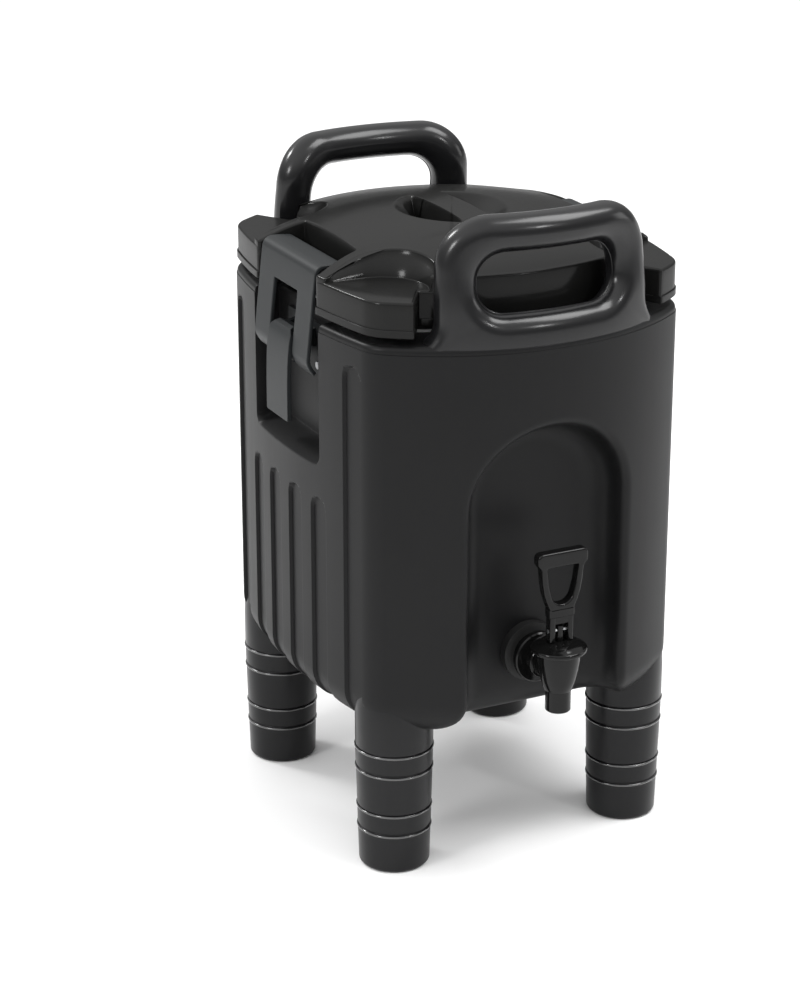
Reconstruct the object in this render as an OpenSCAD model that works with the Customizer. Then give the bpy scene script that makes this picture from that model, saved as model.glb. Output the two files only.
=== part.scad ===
/* [Body] */
// Width of the body across the middle of its side walls
body_w = 282; // [276:1:300]
// Depth of the body through the middle of its front and back
body_d = 340; // [330:1:370]
// Height of the body from its underside to its rim
body_h = 305; // [290:1:340]
// Distance of the leg axes in from the middle of the sides
leg_in_x = 41; // [36:1:43]
// Distance of the leg axes in from the middle of the front and back
leg_in_y = 64; // [60:1:68]
// Radius of the body's upright corners, round the leg axes
corner_r = 30; // [29.8:0.1:33]
// Thickness of the moulded outer wall
wall = 5; // [4:0.5:6]
// Rounding of the lower edges
base_round = 24; // [16:1:30]
// Distance of the parting line below the rim
parting_drop = 6; // [4:0.5:9]
// Height of the step along the parting line
parting_step = 0.6; // [0.3:0.1:1.2]

/* [Tank] */
// Distance of the tank's inside in from the body's sides
tank_in_x = 40; // [38:1:50]
// Distance of the tank's inside in from the body's front and back
tank_in_y = 66; // [64:1:75]
// Inside radius of the tank's upright corners
tank_corner = 45; // [35:1:60]
// Wall of the tank
tank_wall = 4; // [3:0.5:5]
// Height of the tank's inside floor above the body's underside
tank_floor = 29; // [24:1:31]
// Width of the lip that the tank hangs by
lip_w = 6; // [4:0.5:8]
// Thickness of that lip
lip_t = 2; // [1.5:0.1:3]

/* [Tap niche] */
// Width of the niche
niche_w = 122; // [110:1:140]
// Height of the niche's crown above the body's underside
niche_h = 237; // [220:1:260]
// Depth of the niche behind the middle of the front
niche_depth = 40; // [34:1:42]
// How far the mouth of the niche flares to each side
niche_flare = 9; // [4:0.5:12]

/* [Carrying handles] */
// Distance of the axes of a handle's uprights in from the body's sides
handle_in = 71; // [69:1:80]
// Radius of the handle's tube
tube_r = 13.5; // [11:0.5:14]
// Height of the bar's axis above the rim
handle_rise = 77.5; // [72:0.5:90]
// Radius of the bend between bar and upright, on the tube's axis
bend_r = 36; // [28:1:40]
// How far the handle's uprights stand back from the body's face
handle_back = 1.2; // [0.8:0.1:3]
// Height of the hand hole
hand_hole_h = 46; // [40:1:48]

/* [Side walls] */
// Width of the recess that holds a latch
recess_w = 111; // [106:1:116]
// Depth of the recess
recess_depth = 22; // [20:0.5:23]
// Height of the recess below the rim
recess_h = 108; // [96:1:116]
// How far the floor of the recess rises towards its back
recess_slope = 9; // [4:1:14]
// Corner radius of the recess
recess_r = 9; // [5:1:14]
// Width of a flute
flute_w = 21; // [14:1:24]
// Distance between flutes
flute_pitch = 37; // [32:1:38]
// Depth of a flute
flute_depth = 2.4; // [1.5:0.1:3]
// Distance of the short flutes' tops below the rim
flute_drop = 135; // [122:1:160]
// Distance of the corner flutes' tops below the rim
corner_flute_drop = 21; // [14:1:40]
// Distance of the corner flutes in from the body's front and back
corner_flute_in = 69; // [67:1:76]

/* [Legs] */
// Radius at the top of a leg
leg_r = 29.6; // [27:0.1:29.7]
// Radius that each leg section loses towards its foot
leg_taper = 1.3; // [0:0.1:2]
// Height of one leg section
leg_section_h = 49.3; // [40:0.1:60]
// Height of the short stub below the body
stub_h = 14.4; // [13:0.1:20]
// Height of the band at the top of a section
band_h = 16.6; // [12:0.1:22]
// Depth of the groove under the band
band_groove = 0.9; // [0.4:0.1:1.5]
// Radius of the spigot that joins two sections
spigot_r = 19; // [14:0.5:22]
// Height of the spigot
spigot_h = 12; // [8:0.5:12.4]
// Rounding of a foot
foot_round = 3.5; // [2:0.5:6]

/* [Lid] */
// Thickness of the gasket, which sets the gap under the lid
gasket_t = 4; // [3:0.5:6]
// How far the lid stands back from the body's outline
lid_inset = 1.6; // [0.8:0.1:3]
// Height of the proud band along the lid's lower edge
lid_band_h = 6; // [4:0.5:8]
// How far that band stands out
lid_band_out = 1; // [0.5:0.1:1.4]
// Height of the lid's edge at its corners
lid_edge_h = 26; // [22:0.5:30]
// Height of the crown of the lid
lid_crown_h = 58; // [50:0.5:64]
// Radius of the crowned top
crown_r = 400; // [330:10:600]
// Width of the notch that a latch hooks into
notch_w = 102; // [98:1:106]
// Depth of the notch's floor below the lid's corner edge
notch_drop = 3; // [1:0.5:6]
// Distance of a notch's inner wall in from the body's side
notch_in = 40; // [36:1:44]
// Distance of the lid's lower wall at a latch in from the body's side
grip_in = 27; // [25:1:29]
// Width of the ridge between a notch and a corner ledge
ridge_w = 13; // [10:1:20]
// Distance of a ledge's inner wall in from the body's side
ledge_in = 69; // [62:1:76]
// Inner corner radius of the ledge
ledge_r = 34; // [20:1:36]
// Gap between the lid and a handle
lid_gap = 7; // [5:0.5:10]
// Angle from the middle to the end of the lid's front cut-out
cut_angle = 31.5; // [30.5:0.1:34]
// Length of a finger pocket
pocket_len = 90; // [80:1:100]
// Width of a finger pocket
pocket_w = 29; // [24:1:34]
// Depth of a finger pocket below the crown
pocket_depth = 24; // [18:1:28]
// Width of the grip bar between the pockets
grip_bar_w = 26; // [20:1:34]
// Depth of the plug that closes the tank
plug_h = 22; // [16:1:30]
// Clearance round the plug
plug_gap = 1.5; // [1:0.1:3]
// Wall of the lid's shell
lid_wall = 4; // [3:0.5:5]

/* [Latches] */
// Distance of the lever's pivot inside the body's side
pivot_in = 10; // [9.8:0.1:10.6]
// Distance of the lever's pivot below the rim
pivot_drop = 23; // [20:0.5:26]
// Distance between the lever's pivot and the hook's pin
throw = 15; // [14:0.5:18]
// How far the hook's pin lies outside the lever's pivot
pin_out = 1.5; // [0.5:0.1:2]
// Radius of both latch pins
latch_pin_r = 2; // [1.5:0.1:2.2]
// Thickness of the hook's plate
hook_t = 3; // [2.4:0.1:3.2]
// Width of the hook
hook_w = 92; // [84:1:94]
// Reach of the hook over the lid
hook_reach = 10; // [6:0.5:11]
// Width of the window in the hook
window_w = 42; // [41:0.5:46]
// Height of the window above the hook's pin
window_h = 50; // [40:1:54]
// Width of the lever's tongue
tongue_w = 39; // [34:0.5:40]
// Thickness of the tongue
tongue_t = 3.5; // [3:0.1:4]
// Length of the tongue below the pivot
tongue_h = 68; // [56:1:74]
// Width of the lever's barrel
barrel_w = 27; // [22:0.5:28]
// Radius of the lever's barrel
barrel_r = 4.5; // [4:0.1:4.8]
// Thickness of a bracket ear
ear_t = 4; // [3:0.1:4.5]
// Thickness of the bracket's plate
bracket_t = 2.5; // [2:0.1:3]

/* [Tap] */
// Distance of the tap's upright axis in front of the body
tap_out = 8; // [4:0.5:20]
// Height of the tap's shank above the body's underside
tap_z = 52; // [50:0.5:56]
// Radius of the shank
shank_r = 11; // [9:0.5:12]
// Radius of the shank's bore
shank_bore_r = 7; // [5:0.5:8]
// Radius of the tap's cup at its top
cup_r = 16.5; // [15:0.5:18]
// Height of the cup above the shank's axis
cup_top = 17; // [15:0.5:20]
// Depth of the cup below the shank's axis
cup_drop = 18; // [16:0.5:22]
// Radius of the spout
spout_r = 9.9; // [9:0.1:10.5]
// Length of the spout
spout_h = 16; // [12:0.5:24]
// Radius of the spout's bore
spout_bore_r = 7.5; // [5:0.5:8]
// Radius of the bonnet
bonnet_r = 21; // [19:0.5:24]
// Height of the bonnet
bonnet_h = 8.5; // [7:0.5:11]
// Radius of the stem
stem_r = 3; // [2.5:0.1:3.5]
// Height of the handle's pin above the bonnet
crank_h = 8; // [7:0.5:9]
// Height of the handle above its pin
lever_h = 63; // [50:1:76]
// Width of the handle's top bar
lever_w = 45; // [36:1:52]
// Width of the handle's neck
neck_w = 21; // [18:0.5:24]
// Thickness of the handle
lever_t = 9; // [7:0.5:10]
// Radius of the tap's collar
collar_r = 20; // [16:0.5:22]
// Radius of the outer washer
washer_r = 23; // [20:0.5:25]
// Thickness of the outer washer
washer_t = 7; // [4:0.5:9]
// Size of the nut across its corners
nut_d = 34; // [28:1:36]
// Thickness of the nut
nut_t = 8; // [6:0.5:10]

/* [Clearances] */
// Gap between still pieces that nest
nest_gap = 0.25; // [0.15:0.05:0.4]
// Gap between moving pieces
move_gap = 0.3; // [0.2:0.05:0.5]
// Gap round a turning pin
pin_fit = 0.08; // [0.04:0.01:0.1]

/* [Hidden] */
$fn = 64;
arc_fn = 256;

BLACK = [0.10, 0.10, 0.105];
SLATE = [0.20, 0.21, 0.22];
GLOSS = [0.05, 0.05, 0.055];
FOAM = [0.86, 0.80, 0.62];
LINER = [0.80, 0.81, 0.80];
SEAL = [0.30, 0.30, 0.31];
STEEL = [0.66, 0.67, 0.69];

// Heights from the ground up
leg_h = 2 * leg_section_h;
base_z = leg_h + stub_h;
rim_z = base_z + body_h;
lid_z = rim_z + lip_t + gasket_t;
ledge_z = lid_z + lid_edge_h;
notch_z = ledge_z - notch_drop;
crown_z = lid_z + lid_crown_h;

// Plan of the body: four flat arcs that run tangent into four corner circles
half_w = body_w / 2;
half_d = body_d / 2;
tank_w = body_w - 2 * tank_in_x;
tank_d = body_d - 2 * tank_in_y;
handle_w = body_w - 2 * handle_in;
corner_flute_y = half_d - corner_flute_in;
notch_x = half_w - notch_in;
grip_x = half_w - grip_in;
ledge_x = half_w - ledge_in;
ledge_y = notch_w / 2 + ridge_w;
corner = [half_w - leg_in_x, half_d - leg_in_y];
function arc_r(span, rise) = (span ^ 2 + rise ^ 2 - corner_r ^ 2) / (2 * (rise - corner_r));
front_r = arc_r(corner.x, half_d - corner.y);
side_r = arc_r(corner.y, half_w - corner.x);
front_c = half_d - front_r;
side_c = half_w - side_r;
function unit(v) = v / norm(v);

module four_ways() {
  for (i = [-1, 1], j = [-1, 1])
    scale([i, j])
      children();
}

module four_circles(at, r) {
  for (i = [-1, 1], j = [-1, 1])
    translate([i * at.x, j * at.y])
      circle(r);
}

module body_plan(inset = 0) {
  to_front = unit(corner - [0, front_c]);
  to_side = unit(corner - [side_c, 0]);
  reach = 3 * corner_r;
  difference() {
    intersection() {
      translate([0, front_c])
        circle(front_r - inset, $fn = arc_fn);
      translate([0, -front_c])
        circle(front_r - inset, $fn = arc_fn);
      translate([side_c, 0])
        circle(side_r - inset, $fn = arc_fn);
      translate([-side_c, 0])
        circle(side_r - inset, $fn = arc_fn);
    }
    four_ways()
      polygon([
        corner,
        corner + reach * to_front,
        corner + reach * (to_front + to_side),
        corner + reach * to_side
      ]);
  }
  four_circles(corner, corner_r - inset);
}

// An upright outline with rounded lower corners
module tub_profile(half, low, high, r) {
  translate([-half, low + r])
    square([2 * half, high - low - r]);
  translate([-half + r, low])
    square([2 * (half - r), high - low]);
  for (s = [-1, 1])
    translate([s * (half - r), low + r])
      circle(r);
}

module along_y(len) {
  rotate([90, 0, 0])
    linear_extrude(len, center = true)
      children();
}

module along_x(len) {
  rotate([90, 0, 90])
    linear_extrude(len, center = true)
      children();
}

// The closed form of the body, or the same form drawn in by an inset
module body_form(inset = 0) {
  low = base_z + inset;
  high = rim_z - inset;
  round_r = base_round - inset;
  intersection() {
    translate([0, 0, low])
      linear_extrude(high - low)
        body_plan(inset);
    along_y(2 * body_d)
      tub_profile(half_w + 0.5 - inset, low, high + wall, round_r);
    along_x(2 * body_w)
      tub_profile(half_d + 0.5 - inset, low, high + wall, round_r);
  }
}

// Arch of the niche, seen from the front
module arch(grow = 0) {
  r = niche_w / 2 + grow;
  spring = base_z + niche_h - niche_w / 2;
  translate([-r, base_z - wall])
    square([2 * r, spring - base_z + wall]);
  translate([0, spring])
    circle(r);
}

niche_y = -half_d + niche_depth;

module niche(grow = 0) {
  translate([0, niche_y + grow - body_d / 2, 0])
    along_y(body_d)
      arch(grow);
}

// Bevelled mouth of the niche
module niche_mouth() {
  sheet = 0.01;
  edge_y = -sqrt(front_r ^ 2 - (niche_w / 2) ^ 2) - front_c;
  hull() {
    translate([0, edge_y + niche_depth / 3, 0])
      along_y(sheet)
        arch();
    translate([0, -half_d - wall, 0])
      along_y(sheet)
        arch(niche_flare);
  }
}

// Recess for a latch on the right-hand side; grow thickens it into a wall
recess_x = half_w - recess_depth;

module recess(grow = 0) {
  low = rim_z - recess_h - grow;
  high = rim_z + wall;
  out = half_w + wall;
  intersection() {
    along_x(4 * body_w)
      tub_profile(recess_w / 2 + grow, low, high, recess_r);
    along_y(recess_w + 4 * wall)
      polygon([
        [recess_x - grow, high],
        [recess_x - grow, low + recess_slope],
        [out, low - recess_slope * (out - half_w) / recess_depth],
        [out, high]
      ]);
  }
}

// A flute: an upright slot with a round top, cut square to the wall
module flute(top) {
  low = base_z - wall;
  rotate([90, 0, 90])
    linear_extrude(2 * wall) {
      translate([-flute_w / 2, low])
        square([flute_w, top - low - flute_w / 2]);
      translate([0, top - flute_w / 2])
        circle(flute_w / 2);
    }
}

module side_flutes() {
  step = 2 * asin(flute_pitch / 2 / side_r);
  for (k = [-1.5:1:1.5])
    translate([side_c, 0, 0])
      rotate([0, 0, k * step])
        translate([side_r - flute_depth, 0, 0])
          flute(rim_z - flute_drop);
  for (s = [-1, 1])
    translate([side_c, 0, 0])
      rotate([0, 0, s * asin(corner_flute_y / side_r)])
        translate([side_r - flute_depth, 0, 0])
          flute(rim_z - corner_flute_drop);
}

// Front carrying handle: tube bent to the plan's front arc, over a panel with the hand hole
upright_r = front_r - tube_r - handle_back;
bar_lead = 3;
bend_run = bend_r + bar_lead;
bar_r = sqrt(upright_r ^ 2 - bend_run ^ 2);
bar_angle = asin(handle_w / 2 / upright_r) - atan(bend_run / bar_r);
bar_z = rim_z + handle_rise;

module panel_plan() {
  end = asin(handle_w / 2 / upright_r);
  far = 2 * front_r;
  intersection() {
    difference() {
      circle(upright_r + tube_r - 0.6, $fn = arc_fn);
      circle(upright_r - tube_r + 0.6, $fn = arc_fn);
    }
    polygon([[0, 0], far * [-sin(end), -cos(end)], far * [sin(end), -cos(end)]]);
  }
}

module handle() {
  hole_low = bar_z - tube_r - hand_hole_h;
  hole_half = handle_w / 2 - tube_r - 1;
  hole_r = hand_hole_h / 2;
  foot_z = rim_z - wall;
  translate([0, -front_c, 0]) {
    translate([0, 0, bar_z])
      rotate([0, 0, -90 - bar_angle])
        rotate_extrude(angle = 2 * bar_angle)
          translate([bar_r, 0])
            circle(tube_r);
    for (s = [-1, 1])
      rotate([0, 0, s * bar_angle])
        translate([0, -bar_r, 0]) {
          translate([0, 0, bar_z])
            rotate([0, s * 90, 0])
              rotate([0, 0, -90])
                cylinder(h = bar_lead, r = tube_r);
          translate([s * bar_lead, 0, bar_z - bend_r])
            rotate([90, 0, s > 0 ? 0 : 180])
              rotate_extrude(angle = 90)
                translate([bend_r, 0])
                  rotate(s * 90)
                    circle(tube_r);
          translate([s * bend_run, 0, foot_z])
            rotate([0, 0, -90])
              cylinder(h = bar_z - bend_r - foot_z, r = tube_r);
        }
    difference() {
      translate([0, 0, foot_z])
        linear_extrude(hole_low + hole_r - foot_z)
          panel_plan();
      along_y(4 * front_r) {
        translate([-hole_half + hole_r, hole_low])
          square([2 * (hole_half - hole_r), hand_hole_h]);
        for (s = [-1, 1])
          translate([s * (hole_half - hole_r), hole_low + hole_r])
            circle(hole_r);
      }
    }
  }
}

// Rounded rectangle of the tank
module tank_plan(grow = 0) {
  r = tank_corner + grow;
  x = tank_w / 2 + grow;
  y = tank_d / 2 + grow;
  translate([-x + r, -y])
    square([2 * (x - r), 2 * y]);
  translate([-x, -y + r])
    square([2 * x, 2 * (y - r)]);
  four_circles([x - r, y - r], r);
}

tap_y = -half_d - tap_out;
shank_z = base_z + tap_z;
shank_end = -tank_d / 2 + nut_t + washer_t;

module shank_hole(r) {
  translate([0, niche_y - wall, shank_z])
    rotate([-90, 0, 0])
      cylinder(h = shank_end - niche_y, r = r);
}

// Latch sizes, on the right-hand side
pivot = [half_w - pivot_in, rim_z - pivot_drop];
link = [pivot.x + pin_out, pivot.y - sqrt(throw ^ 2 - pin_out ^ 2)];
knuckle_r = barrel_r - 0.5 * pin_out / 2;
plate_in = link.x + knuckle_r;
plate_out = plate_in + hook_t;
sill = 6;
tongue_in = link.x + norm([knuckle_r + hook_t, sill]) + 3 * move_gap;
screw_y = 24;
screw_drop = 20;
screw_r = 2;

module both_sides() {
  children();
  mirror([1, 0, 0])
    children();
}

module screw_axes() {
  for (s = [-1, 1])
    translate([recess_x, s * screw_y, pivot.y - screw_drop])
      rotate([0, 90, 0])
        children();
}

module body_shell() {
  color(BLACK)
    difference() {
      union() {
        intersection() {
          body_form();
          union() {
            linear_extrude(rim_z - parting_drop)
              body_plan();
            linear_extrude(rim_z)
              body_plan(parting_step);
          }
        }
        four_ways_3d()
          translate([corner.x, corner.y, leg_h])
            cylinder(h = stub_h + base_round, r = leg_r);
        handle();
        rotate([0, 0, 180])
          handle();
      }
      difference() {
        body_form(wall);
        niche(wall);
        both_sides()
          recess(wall);
      }
      niche();
      niche_mouth();
      both_sides()
        recess();
      both_sides()
        side_flutes();
      four_ways_3d()
        translate([corner.x, corner.y, leg_h - 1])
          cylinder(h = spigot_h + 1 + nest_gap, r = spigot_r + nest_gap);
      translate([0, 0, rim_z - 2 * wall])
        linear_extrude(3 * wall)
          tank_plan(tank_wall + nest_gap);
      shank_hole(shank_r + nest_gap);
      both_sides()
        screw_axes()
          translate([0, 0, -2 * wall])
            cylinder(h = 3 * wall, r = screw_r + nest_gap / 2);
    }
}

module four_ways_3d() {
  for (i = [0, 1], j = [0, 1])
    mirror([i, 0, 0])
      mirror([0, j, 0])
        children();
}

module foam_core() {
  skin = wall + nest_gap;
  color(FOAM)
    difference() {
      body_form(skin);
      niche(skin);
      both_sides()
        recess(skin);
      translate([0, 0, base_z + tank_floor - tank_wall - nest_gap])
        linear_extrude(body_h)
          tank_plan(tank_wall + nest_gap);
      shank_hole(shank_r + 2 * nest_gap);
    }
}

module inner_tank() {
  floor_z = base_z + tank_floor;
  color(LINER)
    difference() {
      union() {
        translate([0, 0, floor_z - tank_wall])
          linear_extrude(rim_z - floor_z + tank_wall)
            tank_plan(tank_wall);
        translate([0, 0, rim_z])
          linear_extrude(lip_t)
            tank_plan(tank_wall + lip_w);
      }
      translate([0, 0, floor_z])
        linear_extrude(body_h)
          tank_plan();
      shank_hole(shank_r + nest_gap);
    }
}

module leg_section(r_top, foot, socket) {
  r_low = r_top - leg_taper;
  r_band = r_top - leg_taper * band_h / leg_section_h;
  color(BLACK)
    difference() {
      union() {
        cylinder(h = leg_section_h, r1 = r_low, r2 = r_top);
        cylinder(h = leg_section_h + spigot_h, r = spigot_r);
      }
      translate([0, 0, leg_section_h - band_h])
        rotate_extrude()
          polygon([[r_band - band_groove, 0], [r_band + 1, -band_groove], [r_band + 1, band_groove]]);
      rotate_extrude()
        difference() {
          translate([r_low - foot, 0])
            square([2 * foot, foot]);
          translate([r_low - foot, foot])
            circle(foot);
        }
      if (socket)
        translate([0, 0, -1])
          cylinder(h = spigot_h + 1 + nest_gap, r = spigot_r + nest_gap);
    }
}

module leg_at(x, y, upper) {
  translate([x * corner.x, y * corner.y, upper ? leg_section_h : 0])
    leg_section(upper ? leg_r : leg_r - leg_taper, upper ? foot_round / 4 : foot_round, upper);
}

module ear() {
  base = 2 * pivot_drop / 3;
  difference() {
    union() {
      translate(pivot)
        circle(barrel_r);
      polygon([
        [recess_x, pivot.y - base / 2],
        [pivot.x, pivot.y - barrel_r],
        [pivot.x, pivot.y + barrel_r],
        [recess_x, pivot.y + base / 2]
      ]);
    }
    translate(pivot)
      circle(latch_pin_r + pin_fit);
  }
}

module latch_bracket() {
  low = pivot.y - screw_drop - 4 * screw_r;
  high = pivot.y + pivot_drop / 2;
  color(SLATE)
    difference() {
      union() {
        translate([recess_x, -screw_y - 4 * screw_r, low])
          cube([bracket_t, 2 * screw_y + 8 * screw_r, high - low]);
        for (s = [-1, 1])
          translate([0, s * (barrel_w / 2 + move_gap + ear_t / 2), 0])
            along_y(ear_t)
              ear();
      }
      screw_axes()
        cylinder(h = 2 * bracket_t, r = screw_r + nest_gap / 2);
    }
}

module bracket_screws() {
  head_r = 2 * screw_r;
  color(STEEL)
    both_sides()
      screw_axes() {
        translate([0, 0, bracket_t])
          cylinder(h = screw_r, r1 = head_r, r2 = 0.7 * head_r);
        translate([0, 0, -0.9 * wall])
          cylinder(h = bracket_t + 0.9 * wall, r = screw_r);
      }
}

module pivot_pin() {
  len = barrel_w + 2 * (move_gap + ear_t);
  color(STEEL)
    translate([pivot.x, 0, pivot.y])
      rotate([90, 0, 0])
        cylinder(h = len, r = latch_pin_r, center = true);
}

// Lever: barrel on the pivot, lug down to the link pin, arm out through the window, tongue in front
module latch_lever() {
  arm = 0.6 * barrel_r;
  tongue_out = tongue_in + tongue_t;
  lug_gap = norm([pin_out, throw]);
  color(SLATE)
    difference() {
      union() {
        along_y(barrel_w) {
          translate(pivot)
            circle(barrel_r);
          translate(link)
            circle(barrel_r - pin_out / 2);
          polygon([
            pivot - [barrel_r - pin_out / 2, 0], pivot + [barrel_r - pin_out / 2, 0],
            link + [barrel_r - pin_out / 2, 0], link - [barrel_r - pin_out / 2, 0]
          ]);
          translate(pivot - [0, arm])
            square([tongue_in - pivot.x + tongue_t / 2, 2 * arm]);
        }
        along_y(tongue_w) {
          translate([tongue_in, pivot.y - tongue_h])
            square([tongue_t, tongue_h + arm - tongue_t]);
          intersection() {
            translate([tongue_in, pivot.y + arm - tongue_t])
              circle(tongue_t);
            translate([tongue_in, pivot.y + arm - tongue_t])
              square(tongue_t);
          }
        }
      }
      for (p = [pivot, link])
        translate([p.x, 0, p.y])
          rotate([90, 0, 0])
            cylinder(h = 2 * barrel_w, r = latch_pin_r + pin_fit, center = true);
    }
}

knuckle_len = 14;
knuckle_gap = 2 * move_gap;

module link_pin() {
  color(STEEL)
    translate([link.x, 0, link.y])
      rotate([90, 0, 0])
        cylinder(h = barrel_w + 2 * (knuckle_gap + knuckle_len), r = latch_pin_r, center = true);
}

// Hook: plate that leans in from its pin to the lid, a flange over the lid and a flared lip below
module latch_hook() {
  under = notch_z + move_gap;
  bend_in = grip_x + 2.5;
  lip_low = link.y - 8;
  lip_out = 4;
  nose = grip_x - hook_reach;
  color(SLATE)
    difference() {
      union() {
        along_y(hook_w)
          polygon([
            [plate_in, link.y - 4], [plate_in, link.y + sill], [bend_in, under], [nose, under],
            [nose, under + hook_t], [bend_in + hook_t / 2, under + hook_t],
            [bend_in + hook_t, under + hook_t / 2], [plate_out, link.y + sill], [plate_out, link.y - 4],
            [plate_out + lip_out, lip_low], [plate_in + lip_out, lip_low]
          ]);
        for (s = [-1, 1])
          translate([0, s * (barrel_w / 2 + knuckle_gap + knuckle_len / 2), 0])
            along_y(knuckle_len) {
              translate(link)
                circle(knuckle_r);
              translate(link - [0, knuckle_r])
                square([knuckle_r + hook_t / 2, 2 * knuckle_r]);
            }
      }
      translate([plate_in - 2 * hook_reach - hook_t, -window_w / 2, link.y + sill])
        cube([4 * hook_reach, window_w, window_h - sill]);
      translate([plate_out, -tongue_w / 2 - 5 * move_gap, lip_low - 1])
        cube([2 * lip_out, tongue_w + 10 * move_gap, link.y - lip_low]);
      translate([link.x, 0, link.y])
        rotate([90, 0, 0])
          cylinder(h = 2 * hook_w, r = latch_pin_r + pin_fit, center = true);
    }
}

module on_left() {
  mirror([1, 0, 0])
    children();
}

// Plan of the lid: the body's plan less the room for the handles and the latches
lid_front_r = front_r - 2 * tube_r - lid_gap;

module lid_plan(inset = 0) {
  difference() {
    body_plan(lid_inset + inset);
    for (turn = [0, 180])
      rotate(turn)
        translate([0, -front_c])
          difference() {
            translate([0, inset / sin(cut_angle)])
              polygon([
                [0, 0],
                body_d * [-sin(cut_angle), -cos(cut_angle)],
                body_d * [sin(cut_angle), -cos(cut_angle)]
              ]);
            circle(lid_front_r - inset, $fn = arc_fn);
          }
    for (s = [0, 1])
      mirror([s, 0])
        translate([grip_x - inset, -notch_w / 2 - inset])
          square([body_w, notch_w + 2 * inset]);
  }
}

// Plan of the lid before the latch notches are cut
module lid_corner_plan(inset = 0) {
  difference() {
    body_plan(lid_inset + inset);
    for (turn = [0, 180])
      rotate(turn)
        translate([0, -front_c])
          difference() {
            polygon([
              [0, 0],
              body_d * [-sin(cut_angle), -cos(cut_angle)],
              body_d * [sin(cut_angle), -cos(cut_angle)]
            ]);
            circle(lid_front_r, $fn = arc_fn);
          }
  }
}

module corner_ledge() {
  reach = body_d / 2;
  translate([ledge_x + ledge_r, ledge_y])
    square(reach);
  translate([ledge_x, ledge_y + ledge_r])
    square(reach);
  translate([ledge_x + ledge_r, ledge_y + ledge_r])
    circle(ledge_r);
}

// Finger pocket: a round segment beside the grip bar
module pocket() {
  half = pocket_len / 2;
  r = (half ^ 2 + pocket_w ^ 2) / (2 * pocket_w);
  difference() {
    translate([grip_bar_w / 2 + pocket_w - r, 0])
      circle(r);
    translate([grip_bar_w / 2 - 4 * r, -2 * r])
      square(4 * r);
  }
}

lid_cavity_h = lid_edge_h - notch_drop - lid_wall + 1;

module lid_shell() {
  color(BLACK)
    difference() {
      union() {
        translate([0, 0, lid_z])
          linear_extrude(lid_band_h)
            lid_corner_plan(-lid_band_out);
        translate([0, 0, lid_z])
          linear_extrude(lid_edge_h)
            lid_corner_plan();
        intersection() {
          translate([0, 0, lid_z])
            linear_extrude(lid_crown_h)
              difference() {
                lid_corner_plan();
                four_ways()
                  corner_ledge();
              }
          translate([0, 0, crown_z - crown_r])
            rotate([0, 0, 90])
              sphere(crown_r, $fn = arc_fn / 2);
        }
      }
      both_sides() {
        translate([grip_x, -notch_w / 2, lid_z - 1])
          cube([body_w, notch_w, body_h]);
        translate([notch_x, -notch_w / 2, notch_z])
          cube([body_w, notch_w, body_h]);
        translate([0, 0, crown_z - pocket_depth])
          linear_extrude(2 * pocket_depth)
            pocket();
      }
      translate([0, 0, lid_z - 1])
        linear_extrude(lid_cavity_h + 1)
          lid_plan(lid_wall);
    }
}

module lid_liner() {
  sheet = lid_wall - 0.5;
  color(LINER)
    difference() {
      union() {
        translate([0, 0, lid_z])
          linear_extrude(sheet)
            lid_plan(lid_wall + nest_gap);
        translate([0, 0, lid_z - plug_h])
          linear_extrude(plug_h + sheet)
            tank_plan(-plug_gap);
      }
      translate([0, 0, lid_z - plug_h + sheet])
        linear_extrude(plug_h + sheet)
          tank_plan(-plug_gap - sheet);
    }
}

module lid_foam() {
  sheet = lid_wall - 0.5;
  low = lid_z - plug_h + sheet + nest_gap;
  slab = lid_z + sheet + nest_gap;
  color(FOAM) {
    translate([0, 0, slab])
      linear_extrude(lid_z + lid_cavity_h - nest_gap - slab)
        lid_plan(lid_wall + nest_gap);
    translate([0, 0, low])
      linear_extrude(slab - low)
        tank_plan(-plug_gap - sheet - nest_gap);
  }
}

module lid_gasket() {
  color(SEAL)
    translate([0, 0, rim_z + lip_t])
      linear_extrude(gasket_t)
        difference() {
          tank_plan(tank_wall + lip_w - 1);
          tank_plan();
        }
}

// Tap sizes
bonnet_z = shank_z + cup_top;
crank_z = bonnet_z + bonnet_h + move_gap + crank_h;
chamber_r = cup_r - tank_wall;
seat_z = shank_z - shank_bore_r - 0.6 * (shank_r - shank_bore_r);
collar_y = niche_y - washer_t;

module tap_body() {
  cup_low = shank_z - cup_drop;
  collar_t = washer_t - 1;
  color(GLOSS)
    difference() {
      union() {
        translate([0, tap_y, 0])
          rotate_extrude()
            polygon([
              [0, cup_low - spout_h], [spout_r, cup_low - spout_h], [spout_r, cup_low],
              [cup_r, bonnet_z], [0, bonnet_z]
            ]);
        translate([0, tap_y + spout_r / 2, shank_z])
          rotate([-90, 20, 0])
            cylinder(h = shank_end - tap_y - spout_r / 2, r = shank_r);
        translate([0, collar_y, shank_z])
          rotate([90, 0, 0]) {
            cylinder(h = collar_t, r = shank_r + 4);
            translate([0, 0, collar_t])
              cylinder(h = collar_t, r = collar_r);
          }
      }
      translate([0, tap_y, seat_z])
        cylinder(h = body_h, r = chamber_r);
      translate([0, tap_y, base_z - body_h])
        cylinder(h = body_h + tap_z, r = spout_bore_r);
      translate([0, tap_y + spout_r / 3, shank_z])
        rotate([-90, 20, 0])
          cylinder(h = body_d, r = shank_bore_r);
    }
}

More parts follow.
